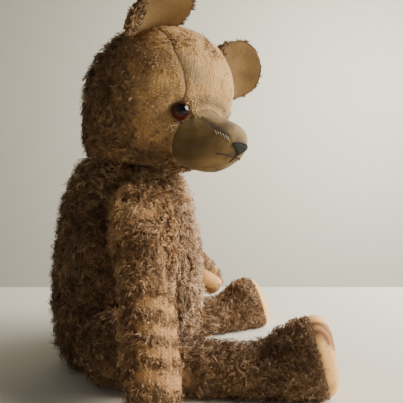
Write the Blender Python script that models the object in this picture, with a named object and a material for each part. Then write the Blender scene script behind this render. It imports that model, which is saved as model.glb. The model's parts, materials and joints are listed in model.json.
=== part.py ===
"""A sitting, disc-jointed mohair teddy bear about 0.48 m tall when it stands, in metres, +Z up.

The bear faces +X and its left side is towards +Y. The origin is the middle of the flat under its seat.
Each stuffed part is a plush cover round a firm stuffing. A fibreboard disc lies on each side of every joint,
inside the two covers, and a cotter pin through both discs and two washers draws them together. The limbs and
the head are built round empties that sit on the joint axes. In a limb's frame X runs along the limb, Y runs
along the joint axis to the bear's left, and y = 0 is the seat on the torso that the limb bears on. In the
head's frame X runs to the front of the face and z = 0 is the flat at the top of the neck.
"""

import math

import bmesh
import bpy
from mathutils import Matrix, Vector

# Cloth and the running gap between pieces
PLUSH = 0.002
GAP = 0.0003
STUFFING_INSET = PLUSH + 0.0008

# Joint hardware
DISC_THICKNESS = 0.003
WASHER_THICKNESS = 0.001
WASHER_RADIUS = 0.008
PIN_WIRE = 0.0008
PIN_SPREAD = 0.001
PIN_EYE = 0.0028
PIN_HOLE = 0.0024
POCKET_DEPTH = 0.0150
NECK_DISC = 0.030
SHOULDER_DISC = 0.0160
HIP_DISC = 0.0200

# Where the head and the limbs are fixed, and how they are turned at rest
NECK_HEIGHT = 0.203
NECK_TILT = math.radians(6)
NECK_LAND = 0.042
HEAD_TURN = math.radians(-45)
SHOULDER = Vector((0.012, 0.054, 0.147))
SHOULDER_SLOPE = math.radians(20)
SHOULDER_SEAT = 0.042
ARM_FORWARD = {"right": math.radians(2.5), "left": math.radians(42)}
HIP = Vector((-0.004, 0.038, 0.034))
HIP_SEAT = 0.042
LEG_SPLAY = {"right": math.radians(14.5), "left": math.radians(11)}

# Torso and head cross-sections: height, back, front, half width
TORSO = (
    (0.000, -0.046, 0.046, 0.034),
    (0.006, -0.058, 0.056, 0.040),
    (0.018, -0.067, 0.064, 0.044),
    (0.036, -0.072, 0.070, 0.047),
    (0.053, -0.074, 0.072, 0.0485),
    (0.070, -0.074, 0.073, 0.0535),
    (0.090, -0.073, 0.073, 0.060),
    (0.110, -0.072, 0.072, 0.0635),
    (0.130, -0.070, 0.070, 0.063),
    (0.150, -0.067, 0.066, 0.060),
    (0.168, -0.063, 0.062, 0.054),
    (0.184, -0.057, 0.057, 0.048),
    (0.196, -0.050, 0.050, 0.043),
    (NECK_HEIGHT, -NECK_LAND, NECK_LAND, 0.041),
)
HEAD = (
    (GAP, -0.034, 0.052, 0.042),
    (0.006, -0.037, 0.070, 0.053),
    (0.022, -0.038, 0.088, 0.065),
    (0.043, -0.038, 0.099, 0.071),
    (0.065, -0.037, 0.106, 0.073),
    (0.085, -0.032, 0.108, 0.071),
    (0.102, -0.024, 0.104, 0.065),
    (0.117, -0.011, 0.095, 0.055),
    (0.128, 0.005, 0.082, 0.041),
    (0.136, 0.020, 0.066, 0.024),
    (0.139, 0.033, 0.052, 0.009),
)
# Muzzle cross-sections: distance forwards, bottom, top, half width
MUZZLE = (
    (0.060, 0.006, 0.058, 0.036),
    (0.076, 0.001, 0.061, 0.038),
    (0.090, -0.003, 0.058, 0.037),
    (0.103, -0.003, 0.052, 0.033),
    (0.115, 0.001, 0.045, 0.028),
    (0.125, 0.008, 0.039, 0.022),
    (0.131, 0.014, 0.033, 0.015),
    (0.134, 0.020, 0.027, 0.007),
)
# Limb cross-sections: distance from the joint axis, back or bottom, front or top, inner and outer side
ARM = (
    (-0.027, -0.008, 0.008, 0.009, 0.025),
    (-0.022, -0.016, 0.016, 0.000, 0.035),
    (-0.012, -0.023, 0.023, -0.007, 0.042),
    (0.002, -0.026, 0.026, -0.008, 0.044),
    (0.020, -0.026, 0.025, -0.005, 0.044),
    (0.045, -0.024, 0.023, 0.001, 0.044),
    (0.070, -0.022, 0.022, 0.006, 0.046),
    (0.098, -0.021, 0.022, 0.012, 0.050),
    (0.123, -0.020, 0.022, 0.017, 0.053),
    (0.144, -0.019, 0.021, 0.021, 0.055),
    (0.157, -0.015, 0.017, 0.026, 0.051),
    (0.163, -0.008, 0.010, 0.033, 0.044),
)
LEG = (
    (-0.034, -0.010, 0.010, 0.012, 0.032),
    (-0.028, -0.020, 0.020, -0.001, 0.044),
    (-0.015, -0.030, 0.030, -0.009, 0.051),
    (0.002, -0.033, 0.032, -0.010, 0.053),
    (0.030, -0.033, 0.025, -0.007, 0.052),
    (0.060, -0.033, 0.012, -0.002, 0.051),
    (0.090, -0.033, 0.004, 0.000, 0.050),
    (0.120, -0.033, 0.004, 0.000, 0.050),
    (0.137, -0.033, 0.009, -0.001, 0.051),
    (0.151, -0.033, 0.020, -0.002, 0.053),
    (0.165, -0.033, 0.029, -0.003, 0.054),
    (0.178, -0.032, 0.032, -0.002, 0.053),
    (0.186, -0.027, 0.028, 0.004, 0.048),
    (0.191, -0.018, 0.018, 0.014, 0.039),
)

# Face, in the head's frame
MUZZLE_SEAM_BRIDGE = Vector((0.103, 0.0, 0.060))
MUZZLE_SEAM_JAW = Vector((0.073, 0.0, -0.002))
MUZZLE_SEAM_SIZE = (0.042, 0.0345)
EYE_RADIUS = 0.008
EYE_SPOT = Vector((0.0908, 0.0354, 0.0468))
EYE_OUTWARD = math.radians(34)
SHANK = 0.0010
SHANK_LENGTH = 0.026
EAR_SPOT = {"right": (0.071, 0.060, 0.131), "left": (0.079, 0.066, 0.119)}
EAR_NOD = {"right": math.radians(58), "left": math.radians(20)}
EAR_TURN = math.radians(27)
EAR_RADIUS = 0.030
EAR_CUP = 0.008
NOSE_WIDTH = 0.011
NOSE_TOP = 0.0225
NOSE_FOOT = 0.0125
NOSE_CHEEK = 0.004
MOUTH_TOP = 0.0085
MOUTH_FOOT = 0.0065
MOUTH_WIDTH = 0.014
MOUTH_SLOPE = math.radians(8)
FACE_FRONT = (0.115, 0.165)
THREAD = 0.0012

# Pads; the sole leans back from the ankle on, so that the toes are nearer to the body than the heel
ANKLE = 0.108
SOLE_SEAM = 0.176
SOLE_LEAN = math.radians(14)
PAW_PAD_SPOT = Vector((0.142, 0.033, 0.001))
PAW_PAD_SIZE = (0.030, 0.0195)
PAW_PAD_TURN = math.radians(62)
PAW_PAD_LEAN = math.radians(20)

# Reach of the tools that cut seats, pin holes and pockets past the surfaces they open
SEAT_REACH = 0.060
COVER_REACH = 0.004
LIMB_REACH = 0.002
MUZZLE_REACH = 0.080
SOLE_REACH = 0.100
PALM_REACH = 0.040

# Fineness of the round forms
TORSO_SIDES = 18
TORSO_SQUARENESS = 2.3
HEAD_SIDES = 18
MUZZLE_SIDES = 12
LIMB_SIDES = 12
DISC_SIDES = 16
WASHER_SIDES = 10
HOLE_SIDES = 8
WIRE_SIDES = 5
SEAM_SIDES = 20
PALM_SIDES = 12
EAR_SIDES = 16
EAR_ROWS = 3
BALL_SIDES = 12
BALL_ROWS = 8
EYE_STEPS = 6
SMOOTH_ANGLE = math.radians(50)


def material(name, colour, roughness, metallic=0.0):
    """Make a Principled material."""
    made = bpy.data.materials.new(name)
    made.use_nodes = True
    shader = made.node_tree.nodes["Principled BSDF"]
    shader.inputs["Base Color"].default_value = (*colour, 1.0)
    shader.inputs["Roughness"].default_value = roughness
    shader.inputs["Metallic"].default_value = metallic
    made.diffuse_color = (*colour, 1.0)
    return made


def add_object(name, mesh_data):
    """Turn a bmesh into an object of the scene, with its faces pointing out."""
    bmesh.ops.recalc_face_normals(mesh_data, faces=mesh_data.faces)
    if mesh_data.calc_volume(signed=True) < 0:
        bmesh.ops.reverse_faces(mesh_data, faces=mesh_data.faces)
    mesh = bpy.data.meshes.new(name)
    mesh_data.to_mesh(mesh)
    mesh_data.free()
    made = bpy.data.objects.new(name, mesh)
    bpy.context.collection.objects.link(made)
    return made


def finish(made, name, finish_material, parent=None):
    """Name a piece, give it its material and shading, and carry it on its joint's empty."""
    made.name = name
    made.data.name = name
    made.data.materials.clear()
    made.data.materials.append(finish_material)
    made.data.shade_smooth()
    made.data.set_sharp_from_angle(angle=SMOOTH_ANGLE)
    made.parent = parent
    return made


def combine(made, tool, operation):
    """Apply a Boolean with a tool object and remove the tool."""
    modifier = made.modifiers.new(operation.lower(), "BOOLEAN")
    modifier.operation = operation
    modifier.object = tool
    modifier.solver = "EXACT"
    graph = bpy.context.evaluated_depsgraph_get()
    result = bpy.data.meshes.new_from_object(made.evaluated_get(graph))
    made.modifiers.clear()
    made.data = result
    bpy.data.objects.remove(tool)
    return made


def copy_of(made):
    """Copy an object with its own mesh."""
    twin = made.copy()
    twin.data = made.data.copy()
    bpy.context.collection.objects.link(twin)
    return twin


def oval(index, sides, squareness=2.0):
    """Give the point of a unit superellipse with this index."""
    angle = 2 * math.pi * (index + 0.5) / sides
    power = 2.0 / squareness
    along = math.copysign(abs(math.cos(angle)) ** power, math.cos(angle))
    across = math.copysign(abs(math.sin(angle)) ** power, math.sin(angle))
    return along, across


def upright_ring(section, sides, squareness=2.0):
    """Give a horizontal ring of a torso or head section."""
    height, back, front, half_width = section
    middle = (front + back) / 2
    depth = (front - back) / 2
    ring = [oval(index, sides, squareness) for index in range(sides)]
    return [Vector((middle + depth * along, half_width * across, height)) for along, across in ring]


def limb_ring(section, sides, side, lean=0.0):
    """Give a ring of a limb section, mirrored for the right side; lean tilts it back at the top."""
    distance, low, high, inner, outer = section
    ring = []
    for along, across in [oval(index, sides) for index in range(sides)]:
        sideways = side * ((outer + inner) / 2 + (outer - inner) / 2 * across)
        upward = (high + low) / 2 + (high - low) / 2 * along
        ring.append(Vector((distance - upward * math.tan(lean), sideways, upward)))
    return ring


def lean_at(distance, lean):
    """Give how far a limb's section leans at this distance: nothing at the ankle, all at the sole."""
    share = (distance - ANKLE) / (SOLE_SEAM - ANKLE)
    return lean * min(max(share, 0.0), 1.0)


def loft(rings, offset=0.0):
    """Skin a list of rings, close both ends and move the skin out by an offset."""
    skin = bmesh.new()
    rows = [[skin.verts.new(point) for point in ring] for ring in rings]
    sides = len(rows[0])
    for lower, upper in zip(rows, rows[1:]):
        for index in range(sides):
            after = (index + 1) % sides
            skin.faces.new((lower[index], lower[after], upper[after], upper[index]))
    skin.faces.new(rows[0])
    skin.faces.new(rows[-1])
    bmesh.ops.recalc_face_normals(skin, faces=skin.faces)
    skin.normal_update()
    moved = [vert.co + vert.normal * offset * vert.calc_shell_factor() for vert in skin.verts]
    for vert, place in zip(skin.verts, moved):
        vert.co = place
    return skin


def slice_off(skin, point, normal):
    """Cut away what lies on the normal's side of a plane and close the cut."""
    geometry = list(skin.verts) + list(skin.edges) + list(skin.faces)
    cut = bmesh.ops.bisect_plane(skin, geom=geometry, plane_co=point, plane_no=normal, clear_outer=True)
    edges = [item for item in cut["geom_cut"] if isinstance(item, bmesh.types.BMEdge)]
    bmesh.ops.contextual_create(skin, geom=edges)
    return skin


def cylinder(radius, start, end, sides, frame=None):
    """Make a cylinder along the Y axis of a frame."""
    skin = bmesh.new()
    bmesh.ops.create_cone(
        skin, cap_ends=True, segments=sides, radius1=radius, radius2=radius, depth=end - start)
    turn = Matrix.Rotation(math.radians(-90), 4, "X")
    skin.transform(Matrix.Translation((0, (start + end) / 2, 0)) @ turn)
    if frame is not None:
        skin.transform(frame)
    return add_object("cylinder", skin)


def block(low, high, frame=None):
    """Make a box between two corners of a frame."""
    skin = bmesh.new()
    bmesh.ops.create_cube(skin, size=1.0)
    size = Vector(high) - Vector(low)
    middle = (Vector(high) + Vector(low)) / 2
    skin.transform(Matrix.Translation(middle) @ Matrix.Diagonal((*size, 1.0)))
    if frame is not None:
        skin.transform(frame)
    return add_object("block", skin)


def axes(origin, x_axis, y_axis):
    """Give the frame with this origin, X axis and Y axis."""
    z_axis = x_axis.cross(y_axis)
    turn = Matrix((x_axis, y_axis, z_axis)).transposed().to_4x4()
    return Matrix.Translation(origin) @ turn


def neck_frame():
    """Give the neck's frame: Y up through the neck, X to the front of the torso."""
    up = Vector((math.sin(NECK_TILT), 0, math.cos(NECK_TILT)))
    front = Vector((math.cos(NECK_TILT), 0, -math.sin(NECK_TILT)))
    return axes(Vector((0, 0, NECK_HEIGHT)), front, up)


def shoulder_frame(side):
    """Give a shoulder's frame with its arm hanging down."""
    outward = Vector((0, side * math.cos(SHOULDER_SLOPE), math.sin(SHOULDER_SLOPE)))
    down = Vector((0, side * math.sin(SHOULDER_SLOPE), -math.cos(SHOULDER_SLOPE)))
    origin = Vector((SHOULDER.x, side * SHOULDER.y, SHOULDER.z))
    return axes(origin, down, side * outward)


def hip_frame(side, splay):
    """Give a hip's frame with its leg straight out."""
    along = Vector((math.cos(splay), side * math.sin(splay), 0))
    left = Vector((-side * math.sin(splay), math.cos(splay), 0))
    origin = Vector((HIP.x, side * HIP.y, HIP.z))
    return axes(origin, along, left)


def outward_frame(frame, side):
    """Turn a joint's frame so that its Y axis points out of the torso."""
    return frame if side > 0 else frame @ Matrix.Rotation(math.pi, 4, "X")


def empty_at(name, frame):
    """Put an empty on a joint's axis."""
    made = bpy.data.objects.new(name, None)
    made.empty_display_size = 0.03
    bpy.context.collection.objects.link(made)
    made.matrix_world = frame
    return made


def ring_plate(radius, hole, start, end, sides, frame):
    """Make a flat disc with a middle hole, along the Y axis of a frame."""
    plate = cylinder(radius, start, end, sides, frame)
    return combine(plate, cylinder(hole, start - GAP, end + GAP, HOLE_SIDES, frame), "DIFFERENCE")


def pin_path():
    """Give the middle line of a cotter pin's wire: hook, leg, eye, leg, hook."""
    outer_face = GAP * 3 + PLUSH + DISC_THICKNESS + WASHER_THICKNESS
    eye_middle = outer_face + GAP + PIN_EYE + PIN_WIRE
    hook = PIN_EYE
    hook_middle = -outer_face - GAP - PIN_WIRE - hook
    eye_start = math.asin(PIN_SPREAD / PIN_EYE)
    eye_angles = [eye_start + (2 * math.pi - 2 * eye_start) * step / EYE_STEPS
                  for step in range(EYE_STEPS + 1)]
    eye = [Vector((PIN_EYE * math.sin(a), eye_middle - PIN_EYE * math.cos(a), 0)) for a in eye_angles]
    hook_angles = [math.radians(step) for step in (200, 150, 100, 50, 0)]
    hook_end = [
        Vector((PIN_SPREAD + hook - hook * math.cos(a), hook_middle - hook * math.sin(a), 0))
        for a in hook_angles
    ]
    mirrored = [Vector((-point.x, point.y, 0)) for point in reversed(hook_end)]
    return hook_end + eye + mirrored


def tube(path, radius, sides, frame):
    """Sweep a round wire along a path that lies in the XY plane."""
    rings = []
    for index, point in enumerate(path):
        before = path[max(index - 1, 0)]
        after = path[min(index + 1, len(path) - 1)]
        heading = (after - before).normalized()
        across = Vector((-heading.y, heading.x, 0))
        angles = [2 * math.pi * step / sides for step in range(sides)]
        ring = [point + across * radius * math.cos(a) + Vector((0, 0, radius * math.sin(a))) for a in angles]
        rings.append([frame @ place for place in ring])
    return add_object("tube", loft(rings))


def add_hardware(prefix, frame, radius, materials):
    """Make a joint's two discs, two washers and cotter pin, in a frame whose Y axis points out."""
    disc_start = GAP + PLUSH + GAP
    disc_end = disc_start + DISC_THICKNESS
    washer_start = disc_end + GAP
    washer_end = washer_start + WASHER_THICKNESS
    pieces = {}
    spans = {"outer": (disc_start, disc_end), "body": (GAP - disc_end, GAP - disc_start)}
    for place, (start, end) in spans.items():
        disc = ring_plate(radius, PIN_HOLE, start, end, DISC_SIDES, frame)
        pieces[place + "_disc"] = finish(disc, f"{prefix}_{place}_disc", materials["board"])
    spans = {"outer": (washer_start, washer_end), "body": (GAP - washer_end, GAP - washer_start)}
    for place, (start, end) in spans.items():
        washer = ring_plate(WASHER_RADIUS, PIN_HOLE, start, end, WASHER_SIDES, frame)
        pieces[place + "_washer"] = finish(washer, f"{prefix}_{place}_washer", materials["steel"])
    wire = tube(pin_path(), PIN_WIRE, WIRE_SIDES, frame)
    pieces["pin"] = finish(wire, f"{prefix}_cotter_pin", materials["steel"])
    return pieces


def torso_rings():
    """Give the torso's rings, with the upper ones leaning to the neck's tilt."""
    rings = []
    for section in TORSO:
        ring = upright_ring(section, TORSO_SIDES, TORSO_SQUARENESS)
        share = (section[0] / NECK_HEIGHT) ** 3
        for point in ring:
            point.z -= point.x * math.tan(NECK_TILT) * share
        rings.append(ring)
    return rings


def torso_solid(inset, seats):
    """Make the torso's solid at an inset, cut flat at the limbs' seats."""
    made = add_object("torso", loft(torso_rings(), -inset))
    for frame, radius in seats:
        made = combine(made, cylinder(radius + inset, -inset, SEAT_REACH, DISC_SIDES, frame), "DIFFERENCE")
    return made


def add_torso(joints, materials):
    """Make the torso's cover and stuffing."""
    seats = [(frame, seat) for frame, seat, disc in joints if seat is not None]
    cover = combine(torso_solid(0, seats), torso_solid(PLUSH, seats), "DIFFERENCE")
    stuffing = torso_solid(STUFFING_INSET, seats)
    for frame, seat, disc in joints:
        hole = cylinder(PIN_HOLE, -COVER_REACH, COVER_REACH, HOLE_SIDES, frame)
        pocket = cylinder(disc + GAP, -POCKET_DEPTH, COVER_REACH, DISC_SIDES, frame)
        cover = combine(cover, hole, "DIFFERENCE")
        stuffing = combine(stuffing, pocket, "DIFFERENCE")
    finish(cover, "body_cover", materials["mohair"])
    finish(stuffing, "body_stuffing", materials["wood_wool"])


def limb_solid(sections, side, lean, inset):
    """Make a limb's solid at an inset, flat where it bears on the torso."""
    rings = [limb_ring(section, LIMB_SIDES, side, lean_at(section[0], lean)) for section in sections]
    skin = loft(rings, -inset)
    slice_off(skin, Vector((0, side * (GAP + inset), 0)), Vector((0, -side, 0)))
    return add_object("limb", skin)


def add_limb(prefix, sections, side, lean, disc, region, materials, joint):
    """Make a limb's cover, pad and stuffing; region makes the tool that takes the pad out of the cover."""
    flip = outward_frame(Matrix.Identity(4), side)
    hollow = limb_solid(sections, side, lean, PLUSH)
    shell = combine(limb_solid(sections, side, lean, 0), hollow, "DIFFERENCE")
    pad = combine(copy_of(shell), region(side, 0), "INTERSECT")
    cover = combine(shell, region(side, GAP), "DIFFERENCE")
    hole = cylinder(PIN_HOLE, -LIMB_REACH, COVER_REACH, HOLE_SIDES, flip)
    pocket = cylinder(disc + GAP, -LIMB_REACH, POCKET_DEPTH, DISC_SIDES, flip)
    cover = combine(cover, hole, "DIFFERENCE")
    stuffing = combine(limb_solid(sections, side, lean, STUFFING_INSET), pocket, "DIFFERENCE")
    finish(cover, f"{prefix}_cover", materials["mohair"], joint)
    finish(pad, f"{prefix}_pad", materials["felt"], joint)
    finish(stuffing, f"{prefix}_stuffing", materials["wood_wool"], joint)


def sole_region(side, margin):
    """Make the tool that takes the sole out of a leg's cover."""
    frame = Matrix.Translation((SOLE_SEAM, 0, 0)) @ Matrix.Rotation(-SOLE_LEAN, 4, "Y")
    return block((-margin, -SOLE_REACH, -SOLE_REACH), (SOLE_REACH, SOLE_REACH, SOLE_REACH), frame)


def paw_region(side, margin):
    """Make the tool that takes the oval palm out of an arm's cover, on its inner back side."""
    length, width = PAW_PAD_SIZE
    turn = Matrix.Rotation(math.pi / 2 - side * PAW_PAD_TURN, 4, "X")
    turn = Matrix.Rotation(side * PAW_PAD_LEAN, 4, "Z") @ turn
    place = Matrix.Translation((PAW_PAD_SPOT.x, side * PAW_PAD_SPOT.y, PAW_PAD_SPOT.z))
    size = Matrix.Diagonal((length + margin, 1.0, width + margin, 1.0))
    return cylinder(1.0, -PALM_REACH, 0.0, PALM_SIDES, place @ turn @ size)


def head_solid(inset):
    """Make the head's solid with its muzzle at an inset."""
    ball = add_object("head", loft([upright_ring(section, HEAD_SIDES) for section in HEAD], -inset))
    rings = []
    for distance, bottom, top, half_width in MUZZLE:
        rings.append(limb_ring((distance, bottom, top, -half_width, half_width), MUZZLE_SIDES, 1))
    return combine(ball, add_object("muzzle", loft(rings, -inset)), "UNION")


def muzzle_region(margin):
    """Make the tool that takes the muzzle out of the head's cover: an oval before a leaning plane."""
    along = (MUZZLE_SEAM_BRIDGE - MUZZLE_SEAM_JAW).normalized()
    middle = (MUZZLE_SEAM_BRIDGE + MUZZLE_SEAM_JAW) / 2
    sideways = Vector((0, 1, 0))
    width, height = MUZZLE_SEAM_SIZE
    size = Matrix.Diagonal((width + margin, 1.0, height + margin, 1.0))
    frame = axes(middle, sideways, sideways.cross(along))
    return cylinder(1.0, -margin, MUZZLE_REACH, SEAM_SIDES, frame @ size)


def eye_ball(radius, frame):
    """Make a ball on an eye's place."""
    skin = bmesh.new()
    bmesh.ops.create_uvsphere(skin, u_segments=BALL_SIDES, v_segments=BALL_ROWS, radius=radius)
    skin.transform(frame @ Matrix.Rotation(math.radians(90), 4, "X"))
    return add_object("ball", skin)


def add_eye(side, materials, joint):
    """Make a glass eye and its wire shank, and give the eye's frame, whose Y axis points out."""
    name = "left" if side > 0 else "right"
    outward = Vector((math.cos(EYE_OUTWARD), side * math.sin(EYE_OUTWARD), 0))
    across = Vector((0, 0, 1)).cross(outward)
    frame = axes(Vector((EYE_SPOT.x, side * EYE_SPOT.y, EYE_SPOT.z)), across, outward)
    finish(eye_ball(EYE_RADIUS, frame), f"eye_{name}", materials["glass"], joint)
    shank = cylinder(SHANK, -SHANK_LENGTH, -EYE_RADIUS - GAP, HOLE_SIDES, frame)
    finish(shank, f"eye_{name}_shank", materials["steel"], joint)
    return frame


def add_ear(side, piece, front, head_tool, materials, joint):
    """Make the front or back cloth of an ear, cupped forwards and cut to the head."""
    name = "left" if side > 0 else "right"
    skin = bmesh.new()
    layers = []
    for depth in (front, front - PLUSH):
        middle = skin.verts.new((depth, 0, 0))
        rings = []
        for row in range(1, EAR_ROWS + 1):
            reach = row / EAR_ROWS
            ring = []
            for index in range(EAR_SIDES):
                angle = 2 * math.pi * index / EAR_SIDES
                place = (depth + EAR_CUP * reach ** 2, EAR_RADIUS * reach * math.cos(angle),
                         EAR_RADIUS * reach * math.sin(angle))
                ring.append(skin.verts.new(place))
            rings.append(ring)
        layers.append((middle, rings))
    for middle, rings in layers:
        for index in range(EAR_SIDES):
            skin.faces.new((middle, rings[0][index], rings[0][(index + 1) % EAR_SIDES]))
        for lower, upper in zip(rings, rings[1:]):
            for index in range(EAR_SIDES):
                after = (index + 1) % EAR_SIDES
                skin.faces.new((lower[index], lower[after], upper[after], upper[index]))
    top, bottom = layers[0][1][-1], layers[1][1][-1]
    for index in range(EAR_SIDES):
        after = (index + 1) % EAR_SIDES
        skin.faces.new((top[index], top[after], bottom[after], bottom[index]))
    forward, sideways, up = EAR_SPOT[name]
    turn = Matrix.Rotation(side * -EAR_TURN, 4, "Z") @ Matrix.Rotation(EAR_NOD[name], 4, "Y")
    skin.transform(Matrix.Translation((forward, side * sideways, up)) @ turn)
    cloth = combine(add_object("ear", skin), head_tool, "DIFFERENCE")
    finish(cloth, f"ear_{name}_{piece}", materials["velvet" if front > 0 else "mohair"], joint)


def patch(tool):
    """Make a thread's thickness of the muzzle's skin where a tool covers it."""
    return combine(combine(head_solid(-GAP - THREAD), head_solid(-GAP), "DIFFERENCE"), tool, "INTERSECT")


def nose_tool():
    """Make the triangle of the nose, point down, along the head's front."""
    skin = bmesh.new()
    outline = (
        (-NOSE_WIDTH, NOSE_TOP), (NOSE_WIDTH, NOSE_TOP), (NOSE_WIDTH * 0.9, NOSE_TOP - NOSE_CHEEK),
        (0.0, NOSE_FOOT), (-NOSE_WIDTH * 0.9, NOSE_TOP - NOSE_CHEEK),
    )
    start, end = FACE_FRONT
    face = skin.faces.new([skin.verts.new((start, y, z)) for y, z in outline])
    swept = bmesh.ops.extrude_face_region(skin, geom=[face])
    verts = [item for item in swept["geom"] if isinstance(item, bmesh.types.BMVert)]
    bmesh.ops.translate(skin, verts=verts, vec=(end - start, 0, 0))
    return add_object("nose", skin)


def mouth_tool():
    """Make the upright stitch below the nose and the two strokes of the mouth."""
    half = THREAD / 2
    start, end = FACE_FRONT
    stitches = block((start, -half, MOUTH_FOOT), (end, half, NOSE_FOOT - GAP))
    for side in (1, -1):
        lean = Matrix.Translation((0, 0, MOUTH_TOP)) @ Matrix.Rotation(side * MOUTH_SLOPE, 4, "X")
        low = min(0, side * MOUTH_WIDTH)
        stroke = block((start, low - half, -half), (end, low + MOUTH_WIDTH + half, half), lean)
        stitches = combine(stitches, stroke, "UNION")
    return stitches


def add_head(materials, joint):
    """Make the head's covers, stuffing, eyes, ears, nose and mouth."""
    up = Matrix.Rotation(math.radians(90), 4, "X")
    shell = combine(head_solid(0), head_solid(PLUSH), "DIFFERENCE")
    pocket = cylinder(NECK_DISC + GAP, -LIMB_REACH, POCKET_DEPTH, DISC_SIDES, up)
    stuffing = combine(head_solid(STUFFING_INSET), pocket, "DIFFERENCE")
    shell = combine(shell, cylinder(PIN_HOLE, -LIMB_REACH, COVER_REACH, HOLE_SIDES, up), "DIFFERENCE")
    for side in (1, -1):
        frame = add_eye(side, materials, joint)
        for target in (shell, stuffing):
            channel = cylinder(SHANK + GAP, -SHANK_LENGTH - GAP, COVER_REACH, HOLE_SIDES, frame)
            combine(target, channel, "DIFFERENCE")
            combine(target, eye_ball(EYE_RADIUS + GAP, frame), "DIFFERENCE")
        for piece, front in (("front", GAP / 2 + PLUSH), ("back", -GAP / 2)):
            add_ear(side, piece, front, head_solid(-GAP), materials, joint)
    muzzle = combine(copy_of(shell), muzzle_region(0), "INTERSECT")
    cover = combine(shell, muzzle_region(GAP), "DIFFERENCE")
    finish(muzzle, "muzzle_cover", materials["velvet"], joint)
    finish(cover, "head_cover", materials["mohair"], joint)
    finish(stuffing, "head_stuffing", materials["wood_wool"], joint)
    finish(patch(nose_tool()), "nose_stitching", materials["thread"], joint)
    finish(patch(mouth_tool()), "mouth_stitching", materials["thread"], joint)


def make_materials():
    """Make the bear's materials."""
    return {
        "mohair": material("mohair", (0.27, 0.16, 0.09), 0.9),
        "velvet": material("velvet", (0.35, 0.26, 0.14), 0.85),
        "felt": material("felt", (0.80, 0.60, 0.38), 0.9),
        "wood_wool": material("wood_wool", (0.72, 0.60, 0.38), 0.95),
        "board": material("board", (0.42, 0.27, 0.16), 0.8),
        "steel": material("steel", (0.45, 0.44, 0.42), 0.45, 1.0),
        "glass": material("glass", (0.16, 0.03, 0.01), 0.08),
        "thread": material("thread", (0.05, 0.05, 0.035), 0.8),
    }


def carry(pieces, joint):
    """Let a joint's outer hardware ride on its empty without moving it."""
    for name in ("outer_disc", "outer_washer", "pin"):
        pieces[name].parent = joint
        pieces[name].matrix_parent_inverse = joint.matrix_world.inverted()


def main():
    """Build the whole bear."""
    for old in list(bpy.data.objects):
        bpy.data.objects.remove(old)
    materials = make_materials()
    neck = neck_frame()
    joints = [(neck, None, NECK_DISC)]
    head_frame = neck @ Matrix.Rotation(math.radians(-90), 4, "X") @ Matrix.Rotation(HEAD_TURN, 4, "Z")
    head_joint = empty_at("neck_joint", head_frame)
    bpy.context.view_layer.update()
    carry(add_hardware("neck", neck, NECK_DISC, materials), head_joint)
    add_head(materials, head_joint)
    for name, side in (("right", -1), ("left", 1)):
        hanging = shoulder_frame(side)
        arm_joint = empty_at(f"shoulder_{name}_joint", hanging @ Matrix.Rotation(-ARM_FORWARD[name], 4, "Y"))
        leg_frame = hip_frame(side, LEG_SPLAY[name])
        leg_joint = empty_at(f"hip_{name}_joint", leg_frame)
        bpy.context.view_layer.update()
        arm_out = outward_frame(arm_joint.matrix_world, side)
        leg_out = outward_frame(leg_frame, side)
        carry(add_hardware(f"shoulder_{name}", arm_out, SHOULDER_DISC, materials), arm_joint)
        carry(add_hardware(f"hip_{name}", leg_out, HIP_DISC, materials), leg_joint)
        add_limb(f"arm_{name}", ARM, side, 0.0, SHOULDER_DISC, paw_region, materials, arm_joint)
        add_limb(f"leg_{name}", LEG, side, SOLE_LEAN, HIP_DISC, sole_region, materials, leg_joint)
        joints.append((arm_out, SHOULDER_SEAT, SHOULDER_DISC))
        joints.append((leg_out, HIP_SEAT, HIP_DISC))
    add_torso(joints, materials)


main()
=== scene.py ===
"""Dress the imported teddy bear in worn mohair, bald backing, velvet, felt, glass and thread.

Lengths are in metres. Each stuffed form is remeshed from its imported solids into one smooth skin. The muzzle
and the pads are patches cut from that skin. The pile grows on the skin as fine curved blades, and it is
thinner, shorter or gone where the bear is worn. The head and the limbs are shaped in their own frames: in the
head's, X runs to the face, Y to its left and Z up; in a limb's, X runs along the limb and Y along the joint.
"""

import json
import math

import bmesh
import bpy
import numpy as np
from mathutils import Matrix, Vector
from mathutils.bvhtree import BVHTree


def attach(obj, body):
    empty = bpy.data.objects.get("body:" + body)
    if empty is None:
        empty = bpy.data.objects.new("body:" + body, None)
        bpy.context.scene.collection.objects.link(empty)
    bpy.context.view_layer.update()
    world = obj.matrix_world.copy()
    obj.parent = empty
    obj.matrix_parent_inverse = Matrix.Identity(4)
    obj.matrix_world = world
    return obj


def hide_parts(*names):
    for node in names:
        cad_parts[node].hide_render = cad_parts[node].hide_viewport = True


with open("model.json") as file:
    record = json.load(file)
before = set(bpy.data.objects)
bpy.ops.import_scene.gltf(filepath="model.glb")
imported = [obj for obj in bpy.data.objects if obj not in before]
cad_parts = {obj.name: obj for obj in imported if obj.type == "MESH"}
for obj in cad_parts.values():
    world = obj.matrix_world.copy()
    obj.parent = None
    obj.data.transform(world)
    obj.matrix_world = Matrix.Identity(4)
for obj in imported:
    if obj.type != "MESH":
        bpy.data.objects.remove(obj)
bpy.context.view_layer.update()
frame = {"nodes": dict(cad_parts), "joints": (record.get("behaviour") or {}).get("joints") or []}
NODES = frame["nodes"]
JOINTS = {joint["name"]: joint for joint in frame["joints"]}
SIDES = {"right": -1, "left": 1}

# How the head turns and the arms swing forward at rest, and how far a hand hangs below its packed place
HEAD_TURN = math.radians(-45)
ARM_FORWARD = {"right": math.radians(2.5), "left": math.radians(42)}
ARM_DROOP = {"right": 0.0, "left": 0.006}

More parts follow.
